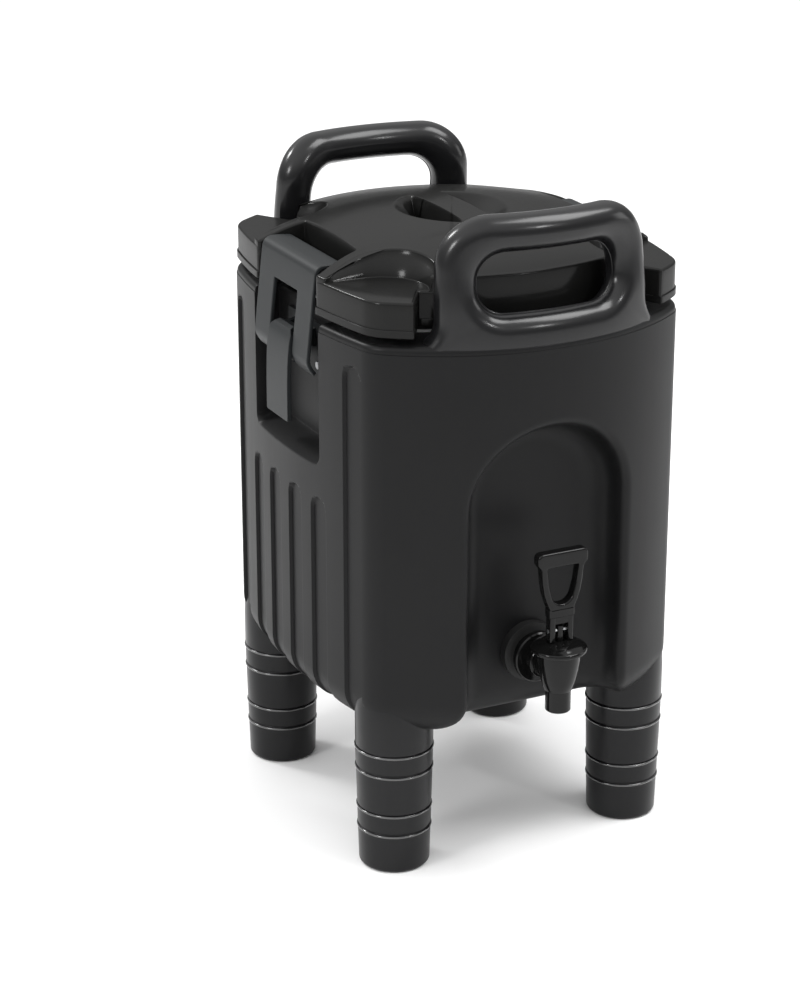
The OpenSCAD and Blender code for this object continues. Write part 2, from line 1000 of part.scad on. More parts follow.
module tap_bonnet() {
  plug = 5;
  color(GLOSS)
    translate([0, tap_y, bonnet_z])
      difference() {
        rotate_extrude()
          polygon([
            [0, -plug], [chamber_r - nest_gap, -plug], [chamber_r - nest_gap, 0],
            [bonnet_r - 1, 0], [bonnet_r, 1], [bonnet_r, 3],
            [bonnet_r - 3, bonnet_h - 2], [bonnet_r / 2, bonnet_h], [0, bonnet_h]
          ]);
        translate([0, 0, -2 * plug])
          cylinder(h = 2 * plug + 2 * bonnet_h, r = stem_r + pin_fit);
      }
}

crank_pin_r = 1.5;
seat_cup_h = 8;

module tap_stem() {
  low = seat_z + move_gap + 2;
  color(GLOSS)
    difference() {
      translate([0, tap_y, low])
        cylinder(h = crank_z + 1.2 * stem_r - low, r = stem_r);
      translate([0, tap_y, crank_z])
        rotate([0, 90, 0])
          cylinder(h = neck_w, r = crank_pin_r + pin_fit, center = true);
    }
}

module tap_seat_cup() {
  low = seat_z + move_gap;
  color(SEAL)
    difference() {
      translate([0, tap_y, low])
        rotate_extrude()
          polygon([
            [0, 0], [spout_bore_r + 1, 0], [spout_bore_r + 2, 2], [stem_r + 3, seat_cup_h], [0, seat_cup_h]
          ]);
      translate([0, tap_y, low + 2])
        cylinder(h = seat_cup_h, r = stem_r + pin_fit);
    }
}

// Handle: forked neck on the stem, widening to a loop with a bar across its top
module tap_handle() {
  bar_h = 9;
  neck_top = crank_z + 14;
  top = crank_z + lever_h;
  loop_w = lever_w - 5;
  win_top = top - bar_h;
  win_half = lever_w / 2 - bar_h;
  win_r = neck_w / 2 - 3.5;
  win_low = neck_top + win_r + 2;
  fork = 2 * stem_r + 2 * move_gap;
  color(GLOSS)
    difference() {
      translate([0, tap_y, 0])
        along_y(lever_t) {
          polygon([
            [-neck_w / 2, crank_z - crank_h], [neck_w / 2, crank_z - crank_h],
            [neck_w / 2, neck_top], [loop_w / 2, win_top], [-loop_w / 2, win_top], [-neck_w / 2, neck_top]
          ]);
          translate([-lever_w / 2 + bar_h / 2, win_top])
            square([lever_w - bar_h, bar_h]);
          for (s = [-1, 1])
            translate([s * (lever_w - bar_h) / 2, win_top + bar_h / 2])
              circle(bar_h / 2);
        }
      translate([0, tap_y, 0])
        along_y(2 * lever_t) {
          polygon([
            [-win_half, win_top], [-win_r, win_low], [win_r, win_low], [win_half, win_top]
          ]);
          translate([0, win_low])
            circle(win_r);
        }
      translate([-fork / 2, tap_y - lever_t, crank_z - crank_h - 1])
        cube([fork, 2 * lever_t, crank_h + 1 + 2 * stem_r]);
      translate([0, tap_y, crank_z])
        rotate([0, 90, 0])
          cylinder(h = 2 * neck_w, r = crank_pin_r + pin_fit, center = true);
    }
}

module tap_handle_pin() {
  color(STEEL)
    translate([0, tap_y, crank_z])
      rotate([0, 90, 0])
        cylinder(h = neck_w - 1, r = crank_pin_r, center = true);
}

module washer(y, r, t) {
  translate([0, y, shank_z])
    rotate([-90, 0, 0])
      difference() {
        cylinder(h = t, r = r);
        translate([0, 0, -1])
          cylinder(h = t + 2, r = shank_r + nest_gap);
      }
}

module tap_outer_washer() {
  color(SEAL)
    washer(collar_y, washer_r, washer_t);
}

inner_washer_t = 3;

module tap_inner_washer() {
  color(SEAL)
    washer(-tank_d / 2, nut_d / 2 + 1, inner_washer_t);
}

module tap_nut() {
  color(LINER)
    translate([0, -tank_d / 2 + inner_washer_t, shank_z])
      rotate([-90, 0, 0])
        difference() {
          cylinder(h = nut_t, d = nut_d, $fn = 6);
          translate([0, 0, -1])
            cylinder(h = nut_t + 2, r = shank_r + nest_gap);
        }
}

// Brings the middle of the whole, tap included, onto the origin
module placed() {
  translate([0, (tap_out + bonnet_r) / 2, 0])
    children();
}

placed() body_shell();
placed() foam_core();
placed() inner_tank();
placed() leg_at(-1, -1, true);  // leg_front_left_upper
placed() leg_at(-1, -1, false);  // leg_front_left_lower
placed() leg_at(1, -1, true);  // leg_front_right_upper
placed() leg_at(1, -1, false);  // leg_front_right_lower
placed() leg_at(-1, 1, true);  // leg_rear_left_upper
placed() leg_at(-1, 1, false);  // leg_rear_left_lower
placed() leg_at(1, 1, true);  // leg_rear_right_upper
placed() leg_at(1, 1, false);  // leg_rear_right_lower
placed() on_left() latch_bracket();  // latch_bracket_left
placed() latch_bracket();  // latch_bracket_right
placed() bracket_screws();
placed() on_left() pivot_pin();  // pivot_pin_left
placed() pivot_pin();  // pivot_pin_right
placed() on_left() latch_lever();  // latch_lever_left
placed() latch_lever();  // latch_lever_right
placed() on_left() link_pin();  // link_pin_left
placed() link_pin();  // link_pin_right
placed() on_left() latch_hook();  // latch_hook_left
placed() latch_hook();  // latch_hook_right
placed() lid_shell();
placed() lid_foam();
placed() lid_liner();
placed() lid_gasket();
placed() tap_body();
placed() tap_bonnet();
placed() tap_stem();
placed() tap_seat_cup();
placed() tap_handle();
placed() tap_handle_pin();
placed() tap_outer_washer();
placed() tap_inner_washer();
placed() tap_nut();
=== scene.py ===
"""Insulated beverage dispenser: visible skins, materials, light and camera.

Skins are given in millimetres about the middle of the four legs, with the front towards -Y.
Floor, light and camera are given in metres in the frame itself.
"""
import math

import bmesh
import bpy
import numpy as np
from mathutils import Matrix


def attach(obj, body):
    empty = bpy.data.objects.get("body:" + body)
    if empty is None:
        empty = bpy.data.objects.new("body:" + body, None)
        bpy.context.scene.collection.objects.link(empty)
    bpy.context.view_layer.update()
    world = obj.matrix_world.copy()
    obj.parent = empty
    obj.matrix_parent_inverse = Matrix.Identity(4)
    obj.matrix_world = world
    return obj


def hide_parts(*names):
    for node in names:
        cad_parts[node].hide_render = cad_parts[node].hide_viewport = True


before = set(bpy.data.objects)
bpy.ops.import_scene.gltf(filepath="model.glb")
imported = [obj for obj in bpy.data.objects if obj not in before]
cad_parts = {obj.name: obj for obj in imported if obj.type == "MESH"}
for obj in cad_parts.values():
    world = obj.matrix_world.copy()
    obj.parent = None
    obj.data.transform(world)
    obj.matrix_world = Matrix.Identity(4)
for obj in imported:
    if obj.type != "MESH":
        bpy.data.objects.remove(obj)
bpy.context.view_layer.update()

MM = 0.001
TURN = 2 * np.pi
QUARTER = np.radians(np.linspace(0, 90, 7))
HALF_ROUND = np.radians(np.linspace(-90, 90, 9))

# Added to every point: the middle of the whole outline, not of the legs, is the frame's origin
SHIFT = np.array([0.0, 14.5, 0.0])

# Points closer than this many metres are one
WELD = 2e-6

# Plan of the body: shallow arcs front, back and sides, round the leg corners
FRONT_R, FRONT_C = 194.058, 24.06
SIDE_R, SIDE_C = 546.2, 405.2
CORNER_X, CORNER_Y, CORNER_R = 100.0, 106.0, 30.0

# Angles in radians at which the side arc ends and the front arc begins
SIDE_END = math.asin(CORNER_Y / (SIDE_R - CORNER_R))
FRONT_START = math.atan2(CORNER_Y + FRONT_C, CORNER_X)

# Wall of the body: rounded base, a step at the mould's parting line and a rolled rim
BASE_Z, PARTING_Z, RIM_Z = 113.0, 412.0, 418.0
BASE_ROUND, PARTING_STEP, RIM_ROUND = 29.0, 0.6, 4.5

# Tap niche: half width, start of its arch, flat back and depth; it widens and deepens at the rounded base
NICHE_HALF, NICHE_ARCH_Z, NICHE_Y, NICHE_DEPTH = 61.0, 289.0, -130.0, 32.0
NICHE_FLARE, NICHE_FLARE_Z, NICHE_SINK = 0.75, 200.0, 0.8
# Profile of its wall: radii of the outer and inner arc, their turn in degrees, reach out and in of the arch
NICHE_EDGE_R, NICHE_FOOT_R, NICHE_TURN = 8.5, 22.0, 76.0
NICHE_REACH_OUT, NICHE_REACH_IN = 10.4, 20.6
# The niche touches only points in front of this
FRONT_ONLY_Y = -60.0

# Latch recesses
RECESS_HALF, RECESS_X, RECESS_Z, RECESS_RISE = 57.0, 119.0, 308.5, 9.0
RECESS_R, RECESS_EASE = 9.0, 2.0

# Flutes: four short ones under each recess, and a tall one near each corner
FLUTE_HALF, FLUTE_DEPTH, FLUTE_EASE, FLUTE_TOP = 10.5, 2.4, 1.2, 283.0
FLUTES = (-55.5, -18.5, 18.5, 55.5)
CORNER_FLUTE_Y, CORNER_FLUTE_TOP = 101.0, 397.0
# Flutes touch only points further out than this
SIDES_ONLY_X = 95.0

# Foam's distance within the wall, and the well that the tank hangs in
FOAM_GAP = 6.0
WELL_HALF, WELL_R, WELL_Z, WELL_GAP = np.array([105.4, 108.4]), 49.4, 137.6, 0.2

# Carrying handles: hand hole, outline with round shoulders, tube, curve that it follows, flare of its feet
HOLE_HALF, HOLE_LOW, HOLE_HIGH, HOLE_R = 55.5, 437.5, 481.9, 20.0
HANDLE_HALF, HANDLE_TOP, HANDLE_FOOT, SHOULDER_R = 83.0, 508.9, 400.0, 37.0
TUBE, TUBE_R = 27.0, 13.4
HANDLE_R, HANDLE_LEAN, LEAN_Z, LEAN_RISE = 179.4, 4.3, 440.0, 50.0
FLARE, FLARE_Z, FLARE_RISE, FLARE_X, FLARE_RUN = 9.0, 434.0, 18.0, 55.0, 28.0

# Legs: two stacked sections, each with a band between two beads; drops are from a section's top to a bead
LEG_STEP, LEG_RADII, LEG_FEET = 49.3, (27.0, 28.3, 29.6), (3.5, 0.8)
LEG_BAND, LEG_GROOVE, GROOVE_HALF = 16.6, 0.9, 0.9
BEAD_OUT, BEAD_HALF, BEAD_SINK = 0.8, 0.9, 0.1
BEAD_DROPS = (LEG_BAND + 1.9, 1.6)
LEG_SIDES = 96

# Lid: tray with a proud band and a rounded rim, cut back for handles and latches
LID_Z, LID_EDGE_Z, NOTCH_Z = 424.0, 450.0, 447.0
LID_INSET, LID_ROUND, BAND_OUT, BAND_TOP = 1.6, 2.2, 1.0, 6.0
CUT_R, CUT_ANGLE = 160.0, 31.5
TRAY_HALF, TRAY_R = np.array([90.0, 100.0]), 30.0

# Crown of the lid: dome, notches for the latches, ridges beside them and scoops at the corners
CROWN_Z, CROWN_R = 479.0, 500.0
NOTCH_HALF, NOTCH_IN, NOTCH_X, GRIP_X = 52.6, 45.6, 101.0, 114.0
LEDGE_X, LEDGE_Y, LEDGE_R, LEDGE_END = 72.0, 65.0, 34.0, 147.3
RIDGE_X, RIDGE_FALL = 100.0, 0.0034
CROWN_CORE = np.array([30.0, 104.0])

# Finger pockets: rim circle beyond the middle, a shallow step, a deep one, and the grip bar between them
POCKET_R, POCKET_C = 49.4, 7.4
POCKET_SHALLOW, POCKET_DEEP, POCKET_DEEP_X = 10.0, 13.0, 26.0
BAR_HALF, BAR_EASE = 12.4, 1.8

# Latches: pivot of the lever and link between lever and hook, as distance from the middle and height
PIVOT_X, PIVOT_Z = 131.0, 395.0
LINK_X, LINK_Z = 132.5, 380.08
WINDOW_HALF, HOOK_HALF = 21.0, 48.0
LATCH_EDGE = 0.7

# Tap: its upright axis and the height of its shank
TAP_Y, SHANK_Z = -178.0, 165.0
TAP_SIDES = 72


# Shapes

def smooth(t):
    """S-curve from 0 to 1: half a cosine wave over the clipped input."""
    return 0.5 - 0.5 * np.cos(np.pi * np.clip(t, 0.0, 1.0))


def ramp(t, soft=0.12):
    """Straight rise from 0 to 1 whose two ends are eased by short parabolas."""
    t = np.clip(t, -soft, 1 + soft)
    low = np.where(t < soft, (t + soft) ** 2 / (4 * soft), t)
    return np.where(t > 1 - soft, 1 - (1 + soft - t) ** 2 / (4 * soft), low)


def graded(start, *spans):
    """Rising or falling numbers; each span is its end and the step wanted on the way there."""
    out = [np.array([start], float)]
    for end, step in spans:
        count = max(1, int(round(abs(end - start) / step)))
        out.append(np.linspace(start, end, count + 1)[1:])
        start = end
    return np.concatenate(out)


def both_ways(half):
    """Numbers from 0 up, repeated below 0 and put in rising order."""
    return np.concatenate([-half[:0:-1], half])


def arc(cx, cy, r, start, end, count):
    """Points on a circle between two angles in degrees."""
    a = np.radians(np.linspace(start, end, count))
    return np.stack([cx + r * np.cos(a), cy + r * np.sin(a)], -1)


def run_along(path):
    """Distance along a path of straight steps from its first point to each of its points."""
    return np.concatenate([[0.0], np.cumsum(np.linalg.norm(np.diff(path, axis=0), axis=1))])


def points_at(path, run, at):
    """Points at given distances along a path."""
    return np.stack([np.interp(at, run, path[:, k]) for k in (0, 1)], -1)


def evenly(path, count):
    """Points at even distances round a closed path."""
    path = np.concatenate([path, path[:1]])
    run = run_along(path)
    return points_at(path, run, np.linspace(0.0, run[-1], count + 1)[:-1])


def softened(path, reach):
    """A closed path with its corners eased: a bell-weighted mean of neighbouring points."""
    near = np.arange(-3 * reach, 3 * reach + 1)
    weight = np.exp(-0.5 * (near / reach) ** 2)
    weight /= weight.sum()
    count = len(path)
    idx = (np.arange(count)[:, None] + near[None, :]) % count
    return (path[idx] * weight[None, :, None]).sum(1)


def mirrored(quarter):
    """A closed outline from its quarter between the +x and the +y axis."""
    flip = quarter[::-1] * [-1, 1]
    return np.concatenate([quarter, flip[1:], -quarter[1:], -flip[1:-1]])


def inward(path):
    """Unit normals of an anticlockwise outline, towards its inside."""
    along = np.roll(path, -1, 0) - np.roll(path, 1, 0)
    along /= np.linalg.norm(along, axis=1, keepdims=True)
    return np.stack([-along[:, 1], along[:, 0]], -1)


def moved(path, normal, by):
    """An outline moved along its normals, by a distance for each point."""
    return path + normal * by[:, None]


def on_round_box(path, half, r):
    """Each point brought on to a rounded rectangle, on the line from its nearest point of the core."""
    core = np.clip(path, -(half - r), half - r)
    out = path - core
    return core + r * out / np.linalg.norm(out, axis=1, keepdims=True)


def corner_distance(u, v, r):
    """Signed distance to a round-cornered quadrant; u and v are the distances past its two faces."""
    u, v = u + r, v + r
    return np.hypot(np.clip(u, 0, None), np.clip(v, 0, None)) + np.minimum(np.maximum(u, v), 0) - r


def flat_ring(xy, z):
    """Points of an outline at one height, or at a height each."""
    return np.concatenate([xy, np.broadcast_to(np.asarray(z, float).reshape(-1, 1), (len(xy), 1))], 1)


def section(width, thick, r, steps=4):
    """Rounded rectangle: first output across its width from 0, second across its thickness about 0."""
    corners = ((180, 270), (270, 360), (0, 90), (90, 180))
    a = np.radians(np.concatenate([np.linspace(start, end, steps + 1) for start, end in corners]))
    far = np.repeat([0.0, 1.0, 1.0, 0.0], steps + 1)
    side = np.repeat([-1.0, -1.0, 1.0, 1.0], steps + 1)
    width = np.asarray(width, float)[..., None]
    across = far * width + r * (1 - 2 * far) + r * np.cos(a)
    return across, np.broadcast_to(side * (thick / 2 - r) + r * np.sin(a), across.shape)


class Skin:
    """Points and faces of one piece, gathered patch by patch."""

    def __init__(self):
        self.points, self.quads, self.tris, self.count = [], [], [], 0

    def add(self, points, quads, tris=None):
        """Takes in one patch, its faces counted from its own first point."""
        points = np.asarray(points, float).reshape(-1, 3)
        self.quads.append(quads.reshape(-1, 4) + self.count)
        if tris is not None:
            self.tris.append(tris.reshape(-1, 3) + self.count)
        self.points.append(points)
        self.count += len(points)
        return self

    def loft(self, rings, start=False, end=False):
        """Quads between neighbouring rings; a closed start or end is a fan to the ring's middle."""
        rings = np.asarray(rings, float)
        k, n = rings.shape[:2]
        i = np.arange(k - 1)[:, None]
        j = np.arange(n)
        after = (j + 1) % n
        quads = np.stack([i * n + j, i * n + after, (i + 1) * n + after, (i + 1) * n + j], -1)
        points, fans = [rings.reshape(-1, 3)], []
        for shut, row in ((start, 0), (end, k - 1)):
            if shut:
                pole = np.full(n, k * n + len(points) - 1)
                fans.append(np.stack([pole, row * n + after, row * n + j], -1))
                points.append(rings[row].mean(0)[None])
        return self.add(np.concatenate(points), quads, np.concatenate(fans) if fans else None)

    def lathe(self, profile, origin, axis="z", steps=64, shut=False):
        """Radius and height pairs turned about an upright (z) or front-to-back (y) axis.

        A shut profile closes on itself; an open one is closed by a fan at each end.
        """
        profile = np.asarray(profile, float)
        a = np.linspace(0, TURN, steps, endpoint=False)
        r, h = profile[:, :1], profile[:, 1:]
        flat = np.zeros_like(a)[None]
        if axis == "z":
            rings = np.stack([r * np.cos(a), r * np.sin(a), h + flat], -1)
        else:
            rings = np.stack([r * np.cos(a), h + flat, r * np.sin(a)], -1)
        rings = rings + np.asarray(origin, float)
        if shut:
            rings = np.concatenate([rings, rings[:1]])
        return self.loft(rings, start=not shut, end=not shut)

    def plate(self, outer, inner, keep):
        """Sheet between two grids of points; cells not kept are left open and their edges walled."""
        rows, cols = outer.shape[:2]
        idx = np.arange(rows * cols).reshape(rows, cols)
        a, b, c, d = idx[:-1, :-1], idx[:-1, 1:], idx[1:, 1:], idx[1:, :-1]
        top = np.stack([a, b, c, d], -1)[keep]
        off = rows * cols
        faces = [top, top[:, ::-1] + off]
        pad = np.pad(keep, 1)
        for gone, p, q in ((~pad[:-2, 1:-1], a, b), (~pad[2:, 1:-1], c, d),
                           (~pad[1:-1, :-2], d, a), (~pad[1:-1, 2:], b, c)):
            m = keep & gone
            faces.append(np.stack([q[m], p[m], p[m] + off, q[m] + off], -1))
        return self.add(np.concatenate([outer.reshape(-1, 3), inner.reshape(-1, 3)]), np.concatenate(faces))

    def box(self, low, high):
        """Plain block between two corners."""
        (x0, y0, z0), (x1, y1, z1) = low, high
        ring = np.array([[x0, y0], [x1, y0], [x1, y1], [x0, y1]])
        return self.loft([flat_ring(ring, z) for z in (z0, z1)], start=True, end=True)

    def block(self, low, high, r):
        """Block between two corners, its upright edges rounded and its ends a little smaller."""
        low, high = np.array(low), np.array(high)
        mid, half = (low + high)[:2] / 2, (high - low)[:2] / 2
        across, through = section(2 * half[0], 2 * half[1], r, 3)
        xy = np.stack([low[0] + across, mid[1] + through], -1)
        ease = 0.3 * r
        rows = ((low[2], ease), (low[2] + ease, 0), (high[2] - ease, 0), (high[2], ease))
        rings = [flat_ring(mid + (xy - mid) * (1 - inset / half), z) for z, inset in rows]
        return self.loft(rings, start=True, end=True)


def piece(name, skin, body, material, nodes=(), crease=32, bevel=0.0):
    """Makes the mesh, faces it outwards and hangs it on its body."""
    points = (np.concatenate(skin.points) + SHIFT) * MM
    quads = np.concatenate(skin.quads)
    tris = np.concatenate(skin.tris) if skin.tris else np.zeros((0, 3), int)
    loops = np.concatenate([quads.ravel(), tris.ravel()]).astype(np.int32)
    starts = np.concatenate([np.arange(len(quads)) * 4, 4 * len(quads) + np.arange(len(tris)) * 3])
    mesh = bpy.data.meshes.new(name)
    mesh.vertices.add(len(points))
    mesh.vertices.foreach_set("co", points.astype(np.float32).ravel())
    mesh.loops.add(len(loops))
    mesh.loops.foreach_set("vertex_index", loops)
    mesh.polygons.add(len(starts))
    mesh.polygons.foreach_set("loop_start", starts.astype(np.int32))
    mesh.update(calc_edges=True)
    work = bmesh.new()
    work.from_mesh(mesh)
    bmesh.ops.remove_doubles(work, verts=work.verts, dist=WELD)
    bmesh.ops.recalc_face_normals(work, faces=work.faces)
    work.to_mesh(mesh)
    work.free()
    mesh.shade_smooth()
    mesh.set_sharp_from_angle(angle=math.radians(crease))
    mesh.materials.append(material)
    obj = bpy.data.objects.new(name, mesh)
    bpy.context.scene.collection.objects.link(obj)
    if bevel:
        mod = obj.modifiers.new("edge rounding", "BEVEL")
        mod.width = bevel * MM
        mod.segments = 2
        mod.limit_method = "ANGLE"
        mod.angle_limit = math.radians(40)
        mod.harden_normals = False
    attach(obj, body)
    if nodes:
        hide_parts(*nodes)


# Shaders

class Wire:
    """A shader socket that takes part in sums; each operator adds one Math node."""

    def __init__(self, tree, socket=None):
        self.tree, self.socket = tree, socket

    def node(self, kind, settings, sockets, out=0):
        """A node of the given type: its settings, then values or links for its sockets."""
        made = self.tree.nodes.new(kind)
        for key, value in settings.items():
            setattr(made, key, value)
        for key, value in sockets.items():
            if isinstance(value, Wire):
                self.tree.links.new(value.socket, made.inputs[key])
            else:
                made.inputs[key].default_value = value
        return Wire(self.tree, made.outputs[out] if len(made.outputs) else None)

    def _math(self, op, a, b):
        """A Math node on two values or links."""
        return self.node("ShaderNodeMath", {"operation": op}, {0: a, 1: b})

    def __add__(self, other):
        return self._math("ADD", self, other)

    def __radd__(self, other):
        return self._math("ADD", other, self)

    def __sub__(self, other):
        return self._math("SUBTRACT", self, other)

    def __rsub__(self, other):
        return self._math("SUBTRACT", other, self)

    def __mul__(self, other):
        return self._math("MULTIPLY", self, other)

    def __rmul__(self, other):
        return self._math("MULTIPLY", other, self)


# Half the width in metres of a polished band
POLISH_HALF = 0.0012


def surface(name, dark, light, rough, grain=0.05, grain_scale=900.0, metal=0.0, streak=0.0, sheen=0.32,
            coat=0.0, coat_rough=0.12, coat_ior=1.5, polished=()):
    """Plastic, rubber or metal: blotches between two colours, uneven gloss and a fine moulded grain.

    A full coat of gloss lies round each polished height, fading out within POLISH_HALF.
    """
    mat = bpy.data.materials.new(name)
    mat.use_nodes = True
    mat.node_tree.nodes.clear()
    start = Wire(mat.node_tree)
    place = start.node("ShaderNodeTexCoord", {}, {}, out=3)
    blotch = start.node("ShaderNodeTexNoise", {},
                        {"Vector": place, "Scale": 16.0, "Detail": 4.0, "Roughness": 0.6})
    fine = start.node("ShaderNodeTexNoise", {},
                      {"Vector": place, "Scale": grain_scale, "Detail": 2.0, "Roughness": 0.5})
    drawn = start.node("ShaderNodeMapping", {}, {"Vector": place, "Scale": (260.0, 260.0, 6.0)})
    rubbed = start.node("ShaderNodeTexNoise", {},
                        {"Vector": drawn, "Scale": 1.0, "Detail": 3.0, "Roughness": 0.55})
    mixed = blotch * 0.7 + rubbed * 0.3
    colour = start.node("ShaderNodeMix", {"data_type": "RGBA"},
                        {"Factor": mixed, "A": (*dark, 1.0), "B": (*light, 1.0)}, out=2)
    gloss = rough + (blotch - 0.5) * 0.10 + (rubbed - 0.5) * streak
    bump = start.node("ShaderNodeBump", {}, {"Strength": grain, "Distance": 0.0004, "Height": fine})
    for level in polished:
        high = start.node("ShaderNodeSeparateXYZ", {}, {"Vector": place}, out=2)
        gap = start.node("ShaderNodeMath", {"operation": "ABSOLUTE"}, {0: high - level})
        coat = start.node("ShaderNodeMath", {"operation": "MAXIMUM", "use_clamp": True},
                          {0: coat, 1: 2.0 - gap * (2.0 / POLISH_HALF)})
    skin = start.node("ShaderNodeBsdfPrincipled", {},
                      {"Base Color": colour, "Roughness": gloss, "Metallic": metal, "Normal": bump,
                       "Specular IOR Level": sheen, "Coat Weight": coat, "Coat Roughness": coat_rough,
                       "Coat IOR": coat_ior})
    start.node("ShaderNodeOutputMaterial", {}, {"Surface": skin})
    return mat


MOULDED = surface("moulded black polyethylene", (0.0048, 0.0048, 0.0051), (0.008, 0.008, 0.0083), 0.47,
                  grain=0.10, streak=0.08, sheen=0.06, coat=0.20, coat_rough=0.36)
LID_MAT = surface("moulded lid polyethylene", (0.006, 0.006, 0.006), (0.010, 0.010, 0.0095), 0.46,
                  grain=0.12, streak=0.06, sheen=0.03, coat=0.27, coat_rough=0.15)
HANDLE_MAT = surface("rubbed handle polyethylene", (0.005, 0.005, 0.0055), (0.008, 0.008, 0.0085), 0.33,
                     grain=0.06, streak=0.10, sheen=0.06, coat=0.58, coat_rough=0.20)
LEG_MAT = surface("leg polyethylene", (0.005, 0.005, 0.0055), (0.008, 0.008, 0.0085), 0.31,
                  grain=0.06, streak=0.08, sheen=0.22, coat_ior=1.9,
                  polished=[(top - drop) * MM for top in (LEG_STEP, 2 * LEG_STEP) for drop in BEAD_DROPS])
LATCH_MAT = surface("slate nylon", (0.010, 0.0115, 0.0122), (0.014, 0.016, 0.017), 0.48,
                    grain=0.08, grain_scale=1400.0, sheen=0.22)
TAP_MAT = surface("gloss black tap", (0.003, 0.003, 0.003), (0.005, 0.005, 0.005), 0.11,
                  grain=0.0, sheen=0.06, coat=0.30, coat_rough=0.10)
RUBBER_MAT = surface("black seal rubber", (0.010, 0.010, 0.010), (0.016, 0.016, 0.016), 0.62, grain=0.15)
STEEL_MAT = surface("drawn steel", (0.50, 0.51, 0.52), (0.62, 0.63, 0.64), 0.30,
                    grain=0.02, metal=1.0, streak=0.2)
LINER_MAT = surface("pale liner polyethylene", (0.66, 0.67, 0.66), (0.74, 0.75, 0.74), 0.40, grain=0.06)
FOAM_MAT = surface("cream foam", (0.62, 0.55, 0.36), (0.72, 0.66, 0.46), 0.85, grain=0.4, grain_scale=500.0)
FLOOR_MAT = surface("pale floor", (0.86, 0.86, 0.86), (0.88, 0.88, 0.88), 0.55, grain=0.0)


# Body

def plan_stations():
    """Circle centre, radius and angle of each point of the plan, anticlockwise from the right side."""
    # Fine steps across the edges of the flutes and the recess, and of the niche at the front
    side_half = graded(0, (6.6, 3.3), (9.4, 0.5), (27.6, 3.0), (30.4, 0.5), (43.6, 3.3), (46.4, 0.5),
                       (54.0, 2.4), (60.2, 0.6), (64.6, 2.2), (67.4, 0.5), (89.1, 3.6), (91.9, 0.5),
                       (109.9, 3.0), (112.1, 0.5))
    front_half = graded(0, (36, 1.5), (74, 0.9), (94, 4.0), (118.2, 5.0))
    back_half = graded(0, (118.2, 5.4))
    side = np.arcsin(both_ways(side_half) / SIDE_R)
    bend = np.linspace(SIDE_END, FRONT_START, 18)[1:-1]
    front = np.arcsin(both_ways(front_half) / FRONT_R)
    back = np.arcsin(both_ways(back_half) / FRONT_R)
    parts = [(-SIDE_C, 0, SIDE_R, side),
             (CORNER_X, CORNER_Y, CORNER_R, bend),
             (0, -FRONT_C, FRONT_R, np.pi / 2 + back),
             (-CORNER_X, CORNER_Y, CORNER_R, np.pi - bend[::-1]),
             (SIDE_C, 0, SIDE_R, np.pi + side),
             (-CORNER_X, -CORNER_Y, CORNER_R, np.pi + bend),
             (0, FRONT_C, FRONT_R, 1.5 * np.pi + front),
             (CORNER_X, -CORNER_Y, CORNER_R, -bend[::-1])]
    counts = [len(angles) for *_, angles in parts]
    cx, cy, r = (np.repeat([float(part[k]) for part in parts], counts) for k in (0, 1, 2))
    return cx, cy, r, np.concatenate([angles for *_, angles in parts])


def plan_at(inset):
    """Plan points moved in square to the outline by each inset given."""
    cx, cy, r, a = plan_stations()
    inset = np.asarray(inset, float)[:, None]
    return cx + (r - inset) * np.cos(a), cy + (r - inset) * np.sin(a)


def wall_levels():
    """Height and inset of each ring of the wall: rounded base, plain wall, parting step and rolled rim."""
    turn = np.radians(graded(0, (90, 7.5)))
    low_z = BASE_Z + BASE_ROUND * (1 - np.cos(turn))
    low_in = BASE_ROUND * (1 - np.sin(turn))
    # Fine steps across the tops of the flutes, the floor of the recess and the arch of the niche
    mid_z = graded(low_z[-1], (268, 7.0), (285, 1.1), (303, 2.0), (320, 0.8), (337, 1.3), (364, 0.9),
                   (383, 4.0), (399, 1.1), (PARTING_Z - 0.5, 4.0))[1:]
    part_z = PARTING_Z + np.array([-0.2, 0.0, 0.3, 0.9])
    part_in = np.array([0.0, 0.55, PARTING_STEP, PARTING_STEP])
    roll = np.radians(np.linspace(0, 90, 8))
    rim_z = RIM_Z - RIM_ROUND * (1 - np.sin(roll))
    rim_in = PARTING_STEP + RIM_ROUND * (1 - np.cos(roll))
    z = np.concatenate([low_z, mid_z, part_z, rim_z])
    return z, np.concatenate([low_in, np.zeros(len(mid_z)), part_in, rim_in])


def niche_push(x, y, z, inset, grow):
    """How far the front goes back for the niche: its whole depth times a share from the wall's profile.

    The profile runs by distance from an arch, which widens round the lower edge. It is an outer arc,
    a steep slope and an inner arc down to the flat back.
    """
    dist = np.where(z > NICHE_ARCH_Z, np.hypot(x, z - NICHE_ARCH_Z), np.abs(x)) - NICHE_HALF - grow
    dist = dist - NICHE_FLARE * inset * (z < NICHE_FLARE_Z)
    back = NICHE_Y + grow + NICHE_SINK * inset
    a = np.radians(np.linspace(0, NICHE_TURN, 14))
    into = np.concatenate([NICHE_EDGE_R * np.sin(a) - NICHE_REACH_OUT,
                           NICHE_REACH_IN - NICHE_FOOT_R * np.sin(a[::-1])])
    deep = np.concatenate([NICHE_EDGE_R * (1 - np.cos(a)),
                           NICHE_DEPTH - NICHE_FOOT_R * (1 - np.cos(a[::-1]))])
    share = np.interp(-dist, into, deep / NICHE_DEPTH)
    return np.clip(back - y, 0, None) * share * (y < FRONT_ONLY_Y)


